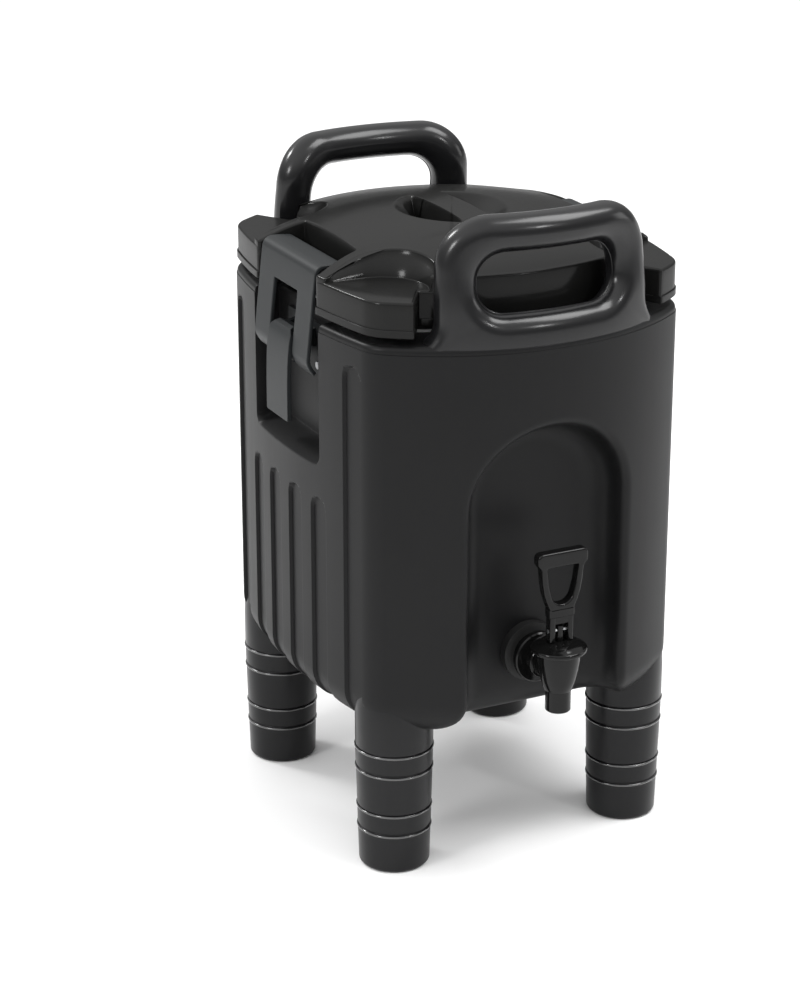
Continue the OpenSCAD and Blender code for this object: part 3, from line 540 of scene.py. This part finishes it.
def recess_depth(y, z, grow):
    """Depth of a latch recess, 0 to 1: a round-cornered tub, open at the rim, with a sloping floor."""
    low = RECESS_Z - grow
    dist = corner_distance(np.abs(y) - (RECESS_HALF + grow), low - z, RECESS_R)
    return ramp(0.5 - dist / RECESS_EASE) * ramp((z - low) / RECESS_RISE, 0.06)


def slot_depth(y, z, centre, top):
    """How far a point lies in a round-topped flute: 0 outside, 1 inside, eased over the edge."""
    off = np.abs(y - centre)
    round_z = top - FLUTE_HALF
    dist = np.where(z > round_z, np.hypot(off, z - round_z), off) - FLUTE_HALF
    return smooth(0.5 - dist / FLUTE_EASE)


def flute_depth(y, z, inset):
    """Depth of the flutes, 0 to 1; all run out at the rounded base, the corner ones higher up."""
    cut = np.zeros_like(y)
    for centre in FLUTES:
        cut = np.maximum(cut, slot_depth(y, z, centre, FLUTE_TOP))
    for centre in (-CORNER_FLUTE_Y, CORNER_FLUTE_Y):
        slot = slot_depth(y, z, centre, CORNER_FLUTE_TOP)
        cut = np.maximum(cut, slot * np.clip((14 - inset) / 10, 0, 1))
    return cut * np.clip((BASE_ROUND + 4 - inset) / 12, 0, 1)


def body_rings(grow):
    """Outer wall: plan rings up the height, pulled in for the rounding, niche, recesses and flutes.

    A positive grow gives the foam's outside, that far within the wall and without flutes.
    """
    z, inset = wall_levels()
    x, y = plan_at(inset + grow)
    z = np.broadcast_to(z[:, None], x.shape)
    inset = np.broadcast_to(inset[:, None], x.shape)
    y = y + niche_push(x, y, z, inset, grow)
    away = np.abs(x)
    floor_x = RECESS_X - grow - np.maximum(inset - PARTING_STEP, 0)
    recess = np.clip(away - floor_x, 0, None) * recess_depth(y, z, grow)
    flute = FLUTE_DEPTH * flute_depth(y, z, inset) * (away > SIDES_ONLY_X) * (grow == 0)
    return np.stack([np.sign(x) * (away - recess - flute), y, z], -1)


def body_skin(grow=0.0):
    """Closed wall with its underside, its deck and the well that the tank hangs in."""
    wall = body_rings(grow)
    if grow:
        span = (RIM_Z - BASE_Z - 2 * grow) / (RIM_Z - BASE_Z)
        wall = wall * [1, 1, span] + [0, 0, BASE_Z * (1 - span) + grow]
    foot, deck = wall[0, :, :2], wall[-1, :, :2]
    low, high = wall[0, 0, 2], wall[-1, 0, 2]
    under = [flat_ring(foot * k, low) for k in (0.15, 0.45, 0.75)]
    mouth = on_round_box(deck, WELL_HALF + (WELL_GAP if grow else 0.0), WELL_R)
    well = [flat_ring(deck * (1 - t) + mouth * t, h)
            for t, h in ((0.5, high), (0.98, high), (1, high - 0.6), (1, 300), (1, WELL_Z))]
    return Skin().loft(np.concatenate([under, wall, well]), start=True, end=True)


def band_width(hole, out):
    """Distance along each normal of the hand hole to the handle's outline, found by halving the range."""
    near, far = np.zeros(len(hole)), np.full(len(hole), 90.0)
    for _ in range(30):
        width = (near + far) / 2
        x, z = moved(hole, out, width).T
        side = corner_distance(np.abs(x) - HANDLE_HALF, z - HANDLE_TOP, SHOULDER_R)
        beyond = np.maximum(side, HANDLE_FOOT - z) > 0
        near, far = np.where(beyond, near, width), np.where(beyond, width, far)
    return width


def wrapped(hole, out, across, through, sign):
    """Cross-sections set along the hand hole, spread at the feet and rolled on to the body's curve."""
    x = hole[:, :1] + out[:, :1] * across
    z = hole[:, 1:] + out[:, 1:] * across
    low, wide = (FLARE_Z - z) / FLARE_RISE, (np.abs(x) - FLARE_X) / FLARE_RUN
    x = x + np.sign(x) * FLARE * np.clip(low, 0, 1) ** 2 * np.clip(wide, 0, 1)
    turn = np.arcsin(x / HANDLE_R)
    radius = HANDLE_R - HANDLE_LEAN * smooth((z - LEAN_Z) / LEAN_RISE) + through
    ring = np.stack([radius * np.sin(turn), sign * (radius * np.cos(turn) - FRONT_C), z], -1)
    return np.concatenate([ring, ring[:1]])


def handle_skin(sign):
    """Broad upright loop round a hand hole, at the front or back, with a thin mould line inside it."""
    x, low, high = HOLE_HALF - HOLE_R, HOLE_LOW + HOLE_R, HOLE_HIGH - HOLE_R
    hole = np.concatenate([arc(x, low, HOLE_R, -90, 0, 24), arc(x, high, HOLE_R, 0, 90, 24),
                           arc(-x, high, HOLE_R, 90, 180, 24), arc(-x, low, HOLE_R, 180, 270, 24)])
    hole = softened(evenly(hole, 960), 8)[::4]
    out = -inward(hole)
    across, through = section(np.clip(band_width(hole, out), TUBE, None), TUBE, TUBE_R, 6)
    each = np.ones((len(hole), 1))
    line = wrapped(hole, out, each * [-0.4, -0.4, 1.2, 1.2], each * [-0.5, 0.5, 1.4, -1.4], sign)
    return Skin().loft(wrapped(hole, out, across, through, sign)).loft(line)


def leg_profile(low_r, high_r, low_z, foot):
    """Half outline of a leg section: rounded foot, plain taper, bead, groove, band and a beaded top."""
    z_band = LEG_STEP - LEG_BAND
    r_band = low_r + (high_r - low_r) * z_band / LEG_STEP
    bead = np.stack([BEAD_OUT * np.cos(HALF_ROUND) - BEAD_SINK, BEAD_HALF * np.sin(HALF_ROUND)], -1)
    low_bead, high_bead = (LEG_STEP - drop for drop in BEAD_DROPS)
    rounding = np.stack([low_r - foot + foot * np.sin(QUARTER), foot - foot * np.cos(QUARTER)], -1)
    groove = np.stack([-LEG_GROOVE * np.cos(HALF_ROUND), GROOVE_HALF * np.sin(HALF_ROUND)], -1)
    top = [[high_r - 0.8, LEG_STEP - 0.4], [high_r - 1.0, LEG_STEP]]
    profile = np.concatenate([rounding, bead + [r_band, low_bead], groove + [r_band, z_band],
                              [[r_band + 0.1, z_band + 1.5]], bead + [high_r, high_bead], top])
    return profile + [0, low_z]


def stub_skin():
    """The body's four leg stubs, whose narrowing tops end inside the rounded base."""
    profile = [[27.0, 98.7], [28.8, 98.7], [29.4, 99.0], [29.6, 99.8], [29.6, 126.0], [29.2, 134.0],
               [25.5, 152.0]]
    skin = Skin()
    for sx in (-1, 1):
        for sy in (-1, 1):
            skin.lathe(profile, [sx * CORNER_X, sy * CORNER_Y, 0], steps=LEG_SIDES)
    return skin


# Lid

def rim_arcs(inset, y0):
    """Quarter of the lid's rim: side arc from y0 on, corner and front arc up to the handle's cut-out."""
    start = math.degrees(math.asin(y0 / (SIDE_R - inset)))
    side_end, front_start = math.degrees(SIDE_END), math.degrees(FRONT_START)
    return np.concatenate([arc(-SIDE_C, 0, SIDE_R - inset, start, side_end, 24),
                           arc(CORNER_X, CORNER_Y, CORNER_R - inset, side_end, front_start, 24)[1:],
                           arc(0, -FRONT_C, FRONT_R - inset, front_start, 90 - CUT_ANGLE, 8)[1:]])


def lid_outline(inset):
    """Outline of the lid: the body's plan, cut back for the two handles and the two latches."""
    quarter = np.concatenate([[[GRIP_X, 0.0], [GRIP_X, NOTCH_IN + 2.4]], rim_arcs(inset, NOTCH_HALF),
                              arc(0, -FRONT_C, CUT_R, 90 - CUT_ANGLE, 90, 40)])
    return softened(evenly(mirrored(quarter), 2000), 2)[::3]


def crown_outline():
    """Outline of the raised crown: flared notches, ridges out to the rim, curved scoops and handle arcs."""
    inset = LID_INSET + 0.1
    ridge = rim_arcs(inset, NOTCH_HALF - 0.1)
    ridge = ridge[ridge[:, 1] < LEDGE_Y]
    edge_x = -SIDE_C + math.sqrt((SIDE_R - inset) ** 2 - LEDGE_Y ** 2)
    scoop = arc(LEDGE_X + LEDGE_R, LEDGE_Y + LEDGE_R, LEDGE_R, 270, LEDGE_END, 40)
    start = math.degrees(math.atan2(scoop[-1, 1] + FRONT_C, scoop[-1, 0])) + 0.4
    quarter = np.concatenate([[[NOTCH_X, 0.0], [NOTCH_X, NOTCH_IN]], ridge, [[edge_x, LEDGE_Y]], scoop,
                              arc(0, -FRONT_C, CUT_R + 0.15, start, 90, 40)])
    return softened(evenly(mirrored(quarter), 2800), 3)[::4]


def crown_height(x, y):
    """Top of the crown: a shallow dome with two half-round finger pockets beside the grip bar."""
    ax = np.abs(x)
    dome = CROWN_Z - CROWN_R + np.sqrt(CROWN_R ** 2 - x ** 2 - y ** 2)
    dome = dome - RIDGE_FALL * np.clip(ax - RIDGE_X, 0, None) ** 2
    bowl = POCKET_R - np.hypot(ax + POCKET_C, y)
    shallow = POCKET_SHALLOW * ramp(bowl / 12, 0.1)
    deep = POCKET_DEEP * ramp((POCKET_DEEP_X - ax) / 4, 0.1) * ramp((bowl - 4) / 9, 0.1)
    return dome - (shallow + deep) * ramp((ax - BAR_HALF) / BAR_EASE, 0.3)


def tray_rings():
    """Tray of the lid: underside, proud band, wall, rounded rim and the floor that the crown stands on."""
    edge, band = lid_outline(LID_INSET), lid_outline(LID_INSET - BAND_OUT)
    into = inward(edge)
    inner = on_round_box(edge, TRAY_HALF, TRAY_R)
    top = np.where(np.abs(edge[:, 1]) < NOTCH_IN + 2.0, NOTCH_Z, LID_EDGE_Z)
    under, wall = LID_Z + 0.6, LID_Z + BAND_TOP
    rings = [flat_ring(inner * 0.5, under), flat_ring(inner, under), flat_ring(edge + into * 6, under),
             flat_ring(edge + into * 6, LID_Z), flat_ring(band + into * 0.6, LID_Z), flat_ring(band, under),
             flat_ring(band, wall - 0.6), flat_ring(band + into * 0.4, wall - 0.1), flat_ring(edge, wall)]
    rings += [flat_ring(edge, wall + (top - LID_ROUND - wall) * t) for t in (0.35, 0.7)]
    rings += [flat_ring(edge + into * LID_ROUND * (1 - np.cos(a)), top - LID_ROUND * (1 - np.sin(a)))
              for a in QUARTER]
    rim = edge + into * LID_ROUND
    rings += [flat_ring(rim + (inner - rim) * t, top) for t in (0.3, 1.0)]
    return rings + [flat_ring(inner * 0.4, LID_EDGE_Z)]


def crown_rings():
    """Crown of the lid: wall with a small foot fillet, leaning in at the scoops, rounded edge and dome."""
    edge = crown_outline()
    into = inward(edge)
    ax, ay = np.abs(edge).T
    base = np.where(ay < NOTCH_HALF - 0.2, NOTCH_Z, LID_EDGE_Z)
    # Foot of the wall: just below the tray's floor, deeper at the rim and in the cut-outs for the handles
    cut_off = CUT_R - np.hypot(ax, ay + FRONT_C)
    sunk = base - 0.5
    low = np.where((ax > 130) & (ay > NOTCH_HALF - 0.2), 440.0, sunk)
    low = np.where((ay > 105) & (cut_off < 0.6), LID_Z + 7.0, low)
    # The taller the wall of a scoop, the more it leans
    scooped = (ay > LEDGE_Y - 0.8) & (cut_off > 1.0)
    lean = 0.6 * np.clip(crown_height(*(edge + into * 8).T) - base - 2.0, 0, None) * scooped
    lean = softened(lean[:, None], 5)[:, 0]
    tall = crown_height(*moved(edge, into, 2.4 + lean).T) - base
    fillet = 0.8 * ((low == sunk) & (tall > 5))
    easy = np.clip(0.5 * tall, 0.4, 2.0)
    high = base + tall
    rings = [flat_ring(edge * 0.7, low), flat_ring(moved(edge, into, -fillet), low)]
    for a in np.radians([0, 30, 60, 90]):
        foot = np.where(fillet > 0, base + fillet * (1 - math.cos(a)), low)
        rings.append(flat_ring(moved(edge, into, -fillet * (1 - math.sin(a))), foot))
    for t in (0.25, 0.5, 0.75):
        rings.append(flat_ring(moved(edge, into, lean * t ** 1.3), foot + (high - easy - foot) * t))
    for a in QUARTER:
        by, down = lean + easy * (1 - np.cos(a)), easy * (1 - np.sin(a))
        rings.append(flat_ring(moved(edge, into, by), high - down))
    # Closing rings run to an upright rectangle, its points spread about half by length and half by count
    start = moved(edge, into, lean + easy)
    goal = np.clip(start, -CROWN_CORE, CROWN_CORE)
    goal = np.concatenate([goal, goal[:1]])
    run = run_along(goal)
    goal = points_at(goal, run, (0.55 * run + 0.45 * np.linspace(0, run[-1], len(run)))[:-1])
    inner = [start + (goal - start) * t for t in graded(0, (0.7, 0.1), (1, 0.02))[1:]]
    across = graded(CROWN_CORE[0], (16, 0.9), (11.4, 0.3), (1, 1.2))[1:]
    inner += [goal * (x / CROWN_CORE[0]) for x in across]
    return rings + [flat_ring(xy, crown_height(*xy.T)) for xy in inner]


def lid_skin():
    """Lid: a lower tray and the domed crown that stands on it."""
    return Skin().loft(tray_rings(), start=True, end=True).loft(crown_rings(), start=True, end=True)


# Latches

def sheet(path, thick, ys, keep, side):
    """Bent sheet: a path in the upright plane carried across y, half its thickness to each side."""
    tangent = np.gradient(path, axis=0)
    tangent /= np.linalg.norm(tangent, axis=1, keepdims=True)
    normal = np.stack([tangent[:, 1], -tangent[:, 0]], -1)
    grids = []
    for share in (0.5, -0.5):
        flat = path + normal * thick * share
        grids.append(np.stack([side * np.broadcast_to(flat[:, :1], ys.shape), ys,
                               np.broadcast_to(flat[:, 1:], ys.shape)], -1))
    return Skin().plate(*grids, keep)


def hook_skin(side):
    """Over-centre hook: nose on the lid, flat top, leaning plate with a window, lip curled to the link."""
    nose = [[110.4, 449.0], [110.4, 450.6]]
    plate = [[135.0, 442.0], [135.9, 434.6], [136.0, 433.4], [137.2, 422.0], [138.6, 410.0], [139.9, 398.0],
             [140.9, 389.0], [141.0, 388.0]]
    lip = [[141.0, 385.8], [140.3, 383.4], [138.7, 380.4], [136.9, 377.8], [135.6, 376.2]]
    path = np.concatenate([nose, arc(115.4, 451.4, 5.0, 180, 92, 7), [[121.0, 456.5]],
                           arc(127.4, 450.0, 6.6, 92, 6, 11), plate, lip])
    # Beside the window, the sheet's edges widen from the nose to the plate
    half = HOOK_HALF - 2.0 + 2.0 * smooth((path[:, :1] - 113) / 9)
    grid = np.concatenate([np.linspace(-HOOK_HALF, -WINDOW_HALF, 7), np.linspace(-16, 16, 6),
                           np.linspace(WINDOW_HALF, HOOK_HALF, 7)])
    beside = np.abs(grid) - WINDOW_HALF
    wide = WINDOW_HALF + beside * (half - WINDOW_HALF) / (HOOK_HALF - WINDOW_HALF)
    ys = np.where(beside > 0, np.sign(grid) * wide, grid)
    x, z = path[:-1, :1], (path[:-1, 1:] + path[1:, 1:]) / 2
    mid = (grid[:-1] + grid[1:]) / 2
    window = (x > 133.6) & (z < 433.8) & (np.abs(mid) < WINDOW_HALF)
    skin = sheet(path, 3.0, ys, ~window, side)
    # Two eyes on the link, each with a web to the lip
    for hand in (-1, 1):
        skin.lathe([[4.6, -3.2], [4.6, 3.2]], [side * LINK_X, hand * 17.6, LINK_Z], "y", 24)
        skin.box((side * LINK_X, hand * 14.4, 377.0), (side * 138.4, hand * 23.0, 384.4))
    return skin


def lever_skin(side):
    """Lever: barrel on its pivot, arm out through the hook's window and a long, slightly bowed tongue."""
    arm = [[131.0, 398.0], [134.0, 401.0], [136.8, 402.2], [139.1, 401.2], [140.7, 398.6], [141.8, 395.0],
           [142.6, 390.0], [143.3, 383.0], [143.8, 375.0], [144.1, 365.0]]
    end_z, end_r = 334.2, 1.6
    tongue = [[144.3, z] for z in (355, 345, 339, 336, end_z, 333.2, 332.6)]
    path = np.concatenate([arm, tongue])
    x, z = path.T
    half = 13.4 + 6.0 * np.where(x < 137.5, 0, smooth((402.5 - z) / 5))
    rounded = end_r - np.sqrt(np.clip(end_r ** 2 - (end_z - z) ** 2, 0, None))
    half = half - np.where(z < end_z, rounded, 0)
    ys = half[:, None] * np.linspace(-1, 1, 13)
    skin = sheet(path, 3.4, ys, np.ones((len(path) - 1, 12), bool), side)
    barrel = [[5.4, -13.4], [6.0, -12.8], [6.0, 12.8], [5.4, 13.4]]
    skin.lathe(barrel, [side * PIVOT_X, 0, PIVOT_Z], "y", 32)
    skin.lathe([[5.2, -13.4], [5.2, 13.4]], [side * LINK_X, 0, LINK_Z], "y", 32)
    return skin.box((side * 126.4, -13.3, 380.0), (side * 137.0, 13.3, PIVOT_Z))


# Tap

def tap_skin():
    """Tap body: tapered cup and spout, a shank with a flange, a collar and a hub at the wall."""
    cup = [[7.6, 134.6], [8.9, 134.6], [9.5, 135.2], [9.5, 151.0], [10.3, 151.4], [11.8, 154.6],
           [13.4, 160.0], [15.0, 168.0], [16.2, 176.0], [16.5, 181.4], [16.1, 182.0], [14.2, 182.0],
           [14.2, 176.0], [7.6, 156.0]]
    shank = [[11.0, -172.0], [11.0, -158.6], [12.4, -158.2], [12.8, -157.6], [12.8, -155.4], [12.4, -154.8],
             [11.0, -154.4], [11.0, -149.4], [18.8, -149.2], [19.8, -148.2], [20.0, -146.0], [19.4, -143.4],
             [15.0, -143.0], [15.0, -137.0]]
    through_wall = [[11.0, -129.9], [11.0, -89.0]]
    skin = Skin().lathe(cup, [0, TAP_Y, 0], steps=TAP_SIDES, shut=True)
    skin.lathe(shank, [0, 0, SHANK_Z], "y", TAP_SIDES)
    return skin.lathe(through_wall, [0, 0, SHANK_Z], "y", 48)


def bonnet_skin():
    """Bonnet: a domed disc with a rolled edge and a bore for the stem."""
    edge = np.stack([19.58 + 1.4 * np.cos(HALF_ROUND), 184.2 + 2.0 * np.sin(HALF_ROUND)], -1)
    dome = [[17.5, 187.6], [14.5, 189.0], [11.0, 190.0], [8.5, 190.4], [5.0, 190.5], [3.6, 190.5],
            [3.6, 177.2]]
    profile = np.concatenate([[[13.9, 177.2], [13.9, 182.2]], edge, dome])
    return Skin().lathe(profile, [0, TAP_Y, 0], steps=TAP_SIDES, shut=True)


def along_rays(path, middle, angles):
    """Where rays from the middle meet a closed path: its distance is read off by angle."""
    off = evenly(path, 2400) - middle
    seen = np.mod(np.arctan2(off[:, 1], off[:, 0]) + np.pi / 2, TURN)
    order = np.argsort(seen)
    reach = np.interp(np.mod(angles + np.pi / 2, TURN), seen[order], np.linalg.norm(off, axis=1)[order],
                      period=TURN)
    return middle + reach[:, None] * np.stack([np.cos(angles), np.sin(angles)], -1)


def tap_loop(thick):
    """Loop of the tap's handle: a bar with round ends over a tapering frame with a U-shaped hole."""
    hole = np.concatenate([arc(0, 229.6, 9.2, 188, 352, 24), [[11.2, 236.0], [12.8, 247.8]],
                           arc(11.4, 248.2, 1.6, 0, 90, 6), arc(-11.4, 248.2, 1.6, 90, 180, 6),
                           [[-12.8, 247.8], [-11.2, 236.0]]])
    right = np.concatenate([[[9.6, 214.4], [10.2, 217.0], [12.4, 222.0], [14.8, 229.0], [16.4, 238.0],
                             [17.3, 248.4], [17.9, 249.6]],
                            arc(16.4, 254.2, 4.2, -60, 0, 7), arc(16.8, 257.8, 3.8, 0, 90, 8)])
    rim = np.roll(np.concatenate([right, right[::-1] * [-1, 1]]), 1, 0)
    angles = np.radians(np.linspace(-90, 270, 180, endpoint=False))
    middle = np.array([0.0, 236.0])
    inner, outer = along_rays(hole, middle, angles), along_rays(rim, middle, angles)
    span = np.linalg.norm(outer - inner, axis=1)
    way = (outer - inner) / span[:, None]
    across, through = section(span, thick, 1.7, 4)
    x, z = (inner[:, k:k + 1] + way[:, k:k + 1] * across for k in (0, 1))
    ring = np.stack([x, TAP_Y + through, z], -1)
    return Skin().loft(np.concatenate([ring, ring[:1]]))


def tap_handle_skin():
    """Looped handle with its neck: two stepped blocks and two side cheeks with the stem between them."""
    skin = tap_loop(8.8)
    upper, lower = (-10.4, 10.4, 4.4, 210.2, 217.0, 1.4), (-9.4, 9.4, 3.6, 204.6, 211.0, 1.0)
    cheeks = (-9.6, -5.2, 4.2, 190.9, 210.6, 1.2), (5.2, 9.6, 4.2, 190.9, 210.6, 1.2)
    for x0, x1, half_y, z0, z1, r in (upper, lower, *cheeks):
        skin.block((x0, TAP_Y - half_y, z0), (x1, TAP_Y + half_y, z1), r)
    return skin


# Pieces on their bodies

piece("body_skin", body_skin(), "base", MOULDED, ["body_shell"])
piece("foam_skin", body_skin(FOAM_GAP), "base", FOAM_MAT, ["foam_core"])
piece("front_handle_skin", handle_skin(-1), "base", HANDLE_MAT)
piece("rear_handle_skin", handle_skin(1), "base", HANDLE_MAT)
piece("leg_stub_skin", stub_skin(), "base", LEG_MAT)

for end, sy in (("front", -1), ("rear", 1)):
    for hand, sx in (("left", -1), ("right", 1)):
        for k, level in enumerate(("lower", "upper")):
            node = f"leg_{end}_{hand}_{level}"
            profile = leg_profile(LEG_RADII[k], LEG_RADII[k + 1], k * LEG_STEP, LEG_FEET[k])
            leg = Skin().lathe(profile, [sx * CORNER_X, sy * CORNER_Y, 0], steps=LEG_SIDES)
            piece(f"{node}_skin", leg, "base", LEG_MAT, [node])

piece("lid_skin", lid_skin(), "lid", LID_MAT, ["lid_shell"])
for hand, side in (("left", -1), ("right", 1)):
    piece(f"hook_{hand}_skin", hook_skin(side), f"hook_{hand}", LATCH_MAT,
          [f"latch_hook_{hand}"], bevel=LATCH_EDGE)
    piece(f"lever_{hand}_skin", lever_skin(side), f"lever_{hand}", LATCH_MAT,
          [f"latch_lever_{hand}"], bevel=LATCH_EDGE)
piece("tap_skin", tap_skin(), "base", TAP_MAT, ["tap_body"])
piece("bonnet_skin", bonnet_skin(), "base", TAP_MAT, ["tap_bonnet"])
piece("tap_handle_skin", tap_handle_skin(), "handle", TAP_MAT, ["tap_handle"])

# Every CAD node takes the material of the first of these words found in its name
NODE_MATS = (("screw", STEEL_MAT), ("pin", STEEL_MAT), ("foam", FOAM_MAT), ("tank", LINER_MAT),
             ("liner", LINER_MAT), ("gasket", RUBBER_MAT), ("washer", RUBBER_MAT), ("seat_cup", RUBBER_MAT),
             ("tap", TAP_MAT), ("latch", LATCH_MAT), ("leg", LEG_MAT), ("lid", LID_MAT), ("body", MOULDED))
for name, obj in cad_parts.items():
    obj.data.materials.clear()
    obj.data.materials.append(next(mat for word, mat in NODE_MATS if word in name))


# Floor, light and camera

FLOOR_HALF = 12.0
corners = [(-FLOOR_HALF, -FLOOR_HALF, 0), (FLOOR_HALF, -FLOOR_HALF, 0),
           (FLOOR_HALF, FLOOR_HALF, 0), (-FLOOR_HALF, FLOOR_HALF, 0)]
floor = bpy.data.meshes.new("floor")
floor.from_pydata(corners, [], [(0, 1, 2, 3)])
floor.materials.append(FLOOR_MAT)
floor_obj = bpy.data.objects.new("floor", floor)
bpy.context.scene.collection.objects.link(floor_obj)

# White dome: dim at the horizon, bright overhead, and brighter on the left than on the right
world = bpy.data.worlds.new("studio")
bpy.context.scene.world = world
world.use_nodes = True
world.node_tree.nodes.clear()
sky = Wire(world.node_tree)
heading = sky.node("ShaderNodeTexCoord", {}, {})
rightward = sky.node("ShaderNodeSeparateXYZ", {}, {"Vector": heading}, out=0)
upward = sky.node("ShaderNodeSeparateXYZ", {}, {"Vector": heading}, out=2)
lift = sky.node("ShaderNodeMapRange", {"interpolation_type": "SMOOTHSTEP"},
                {"Value": upward, "From Min": 0.05, "From Max": 0.85, "To Min": 0.34, "To Max": 1.46})
glow = sky.node("ShaderNodeBackground", {},
                {"Color": (1.0, 1.0, 1.0, 1.0), "Strength": lift * (1.0 - rightward * 0.35)})
sky.node("ShaderNodeOutputWorld", {}, {"Surface": glow})


def area_light(name, place, aim_z, size, power):
    """Square light at a place, turned towards a height over the middle of the floor."""
    data = bpy.data.lights.new(name, "AREA")
    data.shape = "SQUARE"
    data.size = size
    data.energy = power
    obj = bpy.data.objects.new(name, data)
    obj.location = place
    x, y, z = np.array([0.0, 0.0, aim_z]) - np.array(place)
    obj.rotation_euler = (math.atan2(math.hypot(x, y), -z), 0.0, math.atan2(x, -y) + math.pi)
    bpy.context.scene.collection.objects.link(obj)
    return obj


lights = [area_light("rear strip", (-1.2, 1.7, 1.9), 0.35, 0.5, 26.0),
          area_light("left strip", (-2.2, -0.6, 1.5), 0.35, 0.5, 16.0),
          area_light("front strip", (0.9, -2.2, 1.7), 0.3, 0.2, 7.0),
          area_light("overhead box", (0.95, -0.55, 2.1), 0.4, 1.0, 30.0),
          area_light("right panel", (2.1, -0.7, 0.9), 0.3, 0.8, 5.0)]

eye = bpy.data.cameras.new("camera")
eye.lens = 96.994
eye.sensor_width = 36.0
camera = bpy.data.objects.new("camera", eye)
camera.location = (-0.90322, -1.74753, 0.97984)
camera.rotation_euler = (math.radians(69.5186), 0.0, math.radians(-26.0114))
bpy.context.scene.collection.objects.link(camera)
bpy.context.scene.camera = camera
bpy.context.scene.view_settings.view_transform = "Standard"
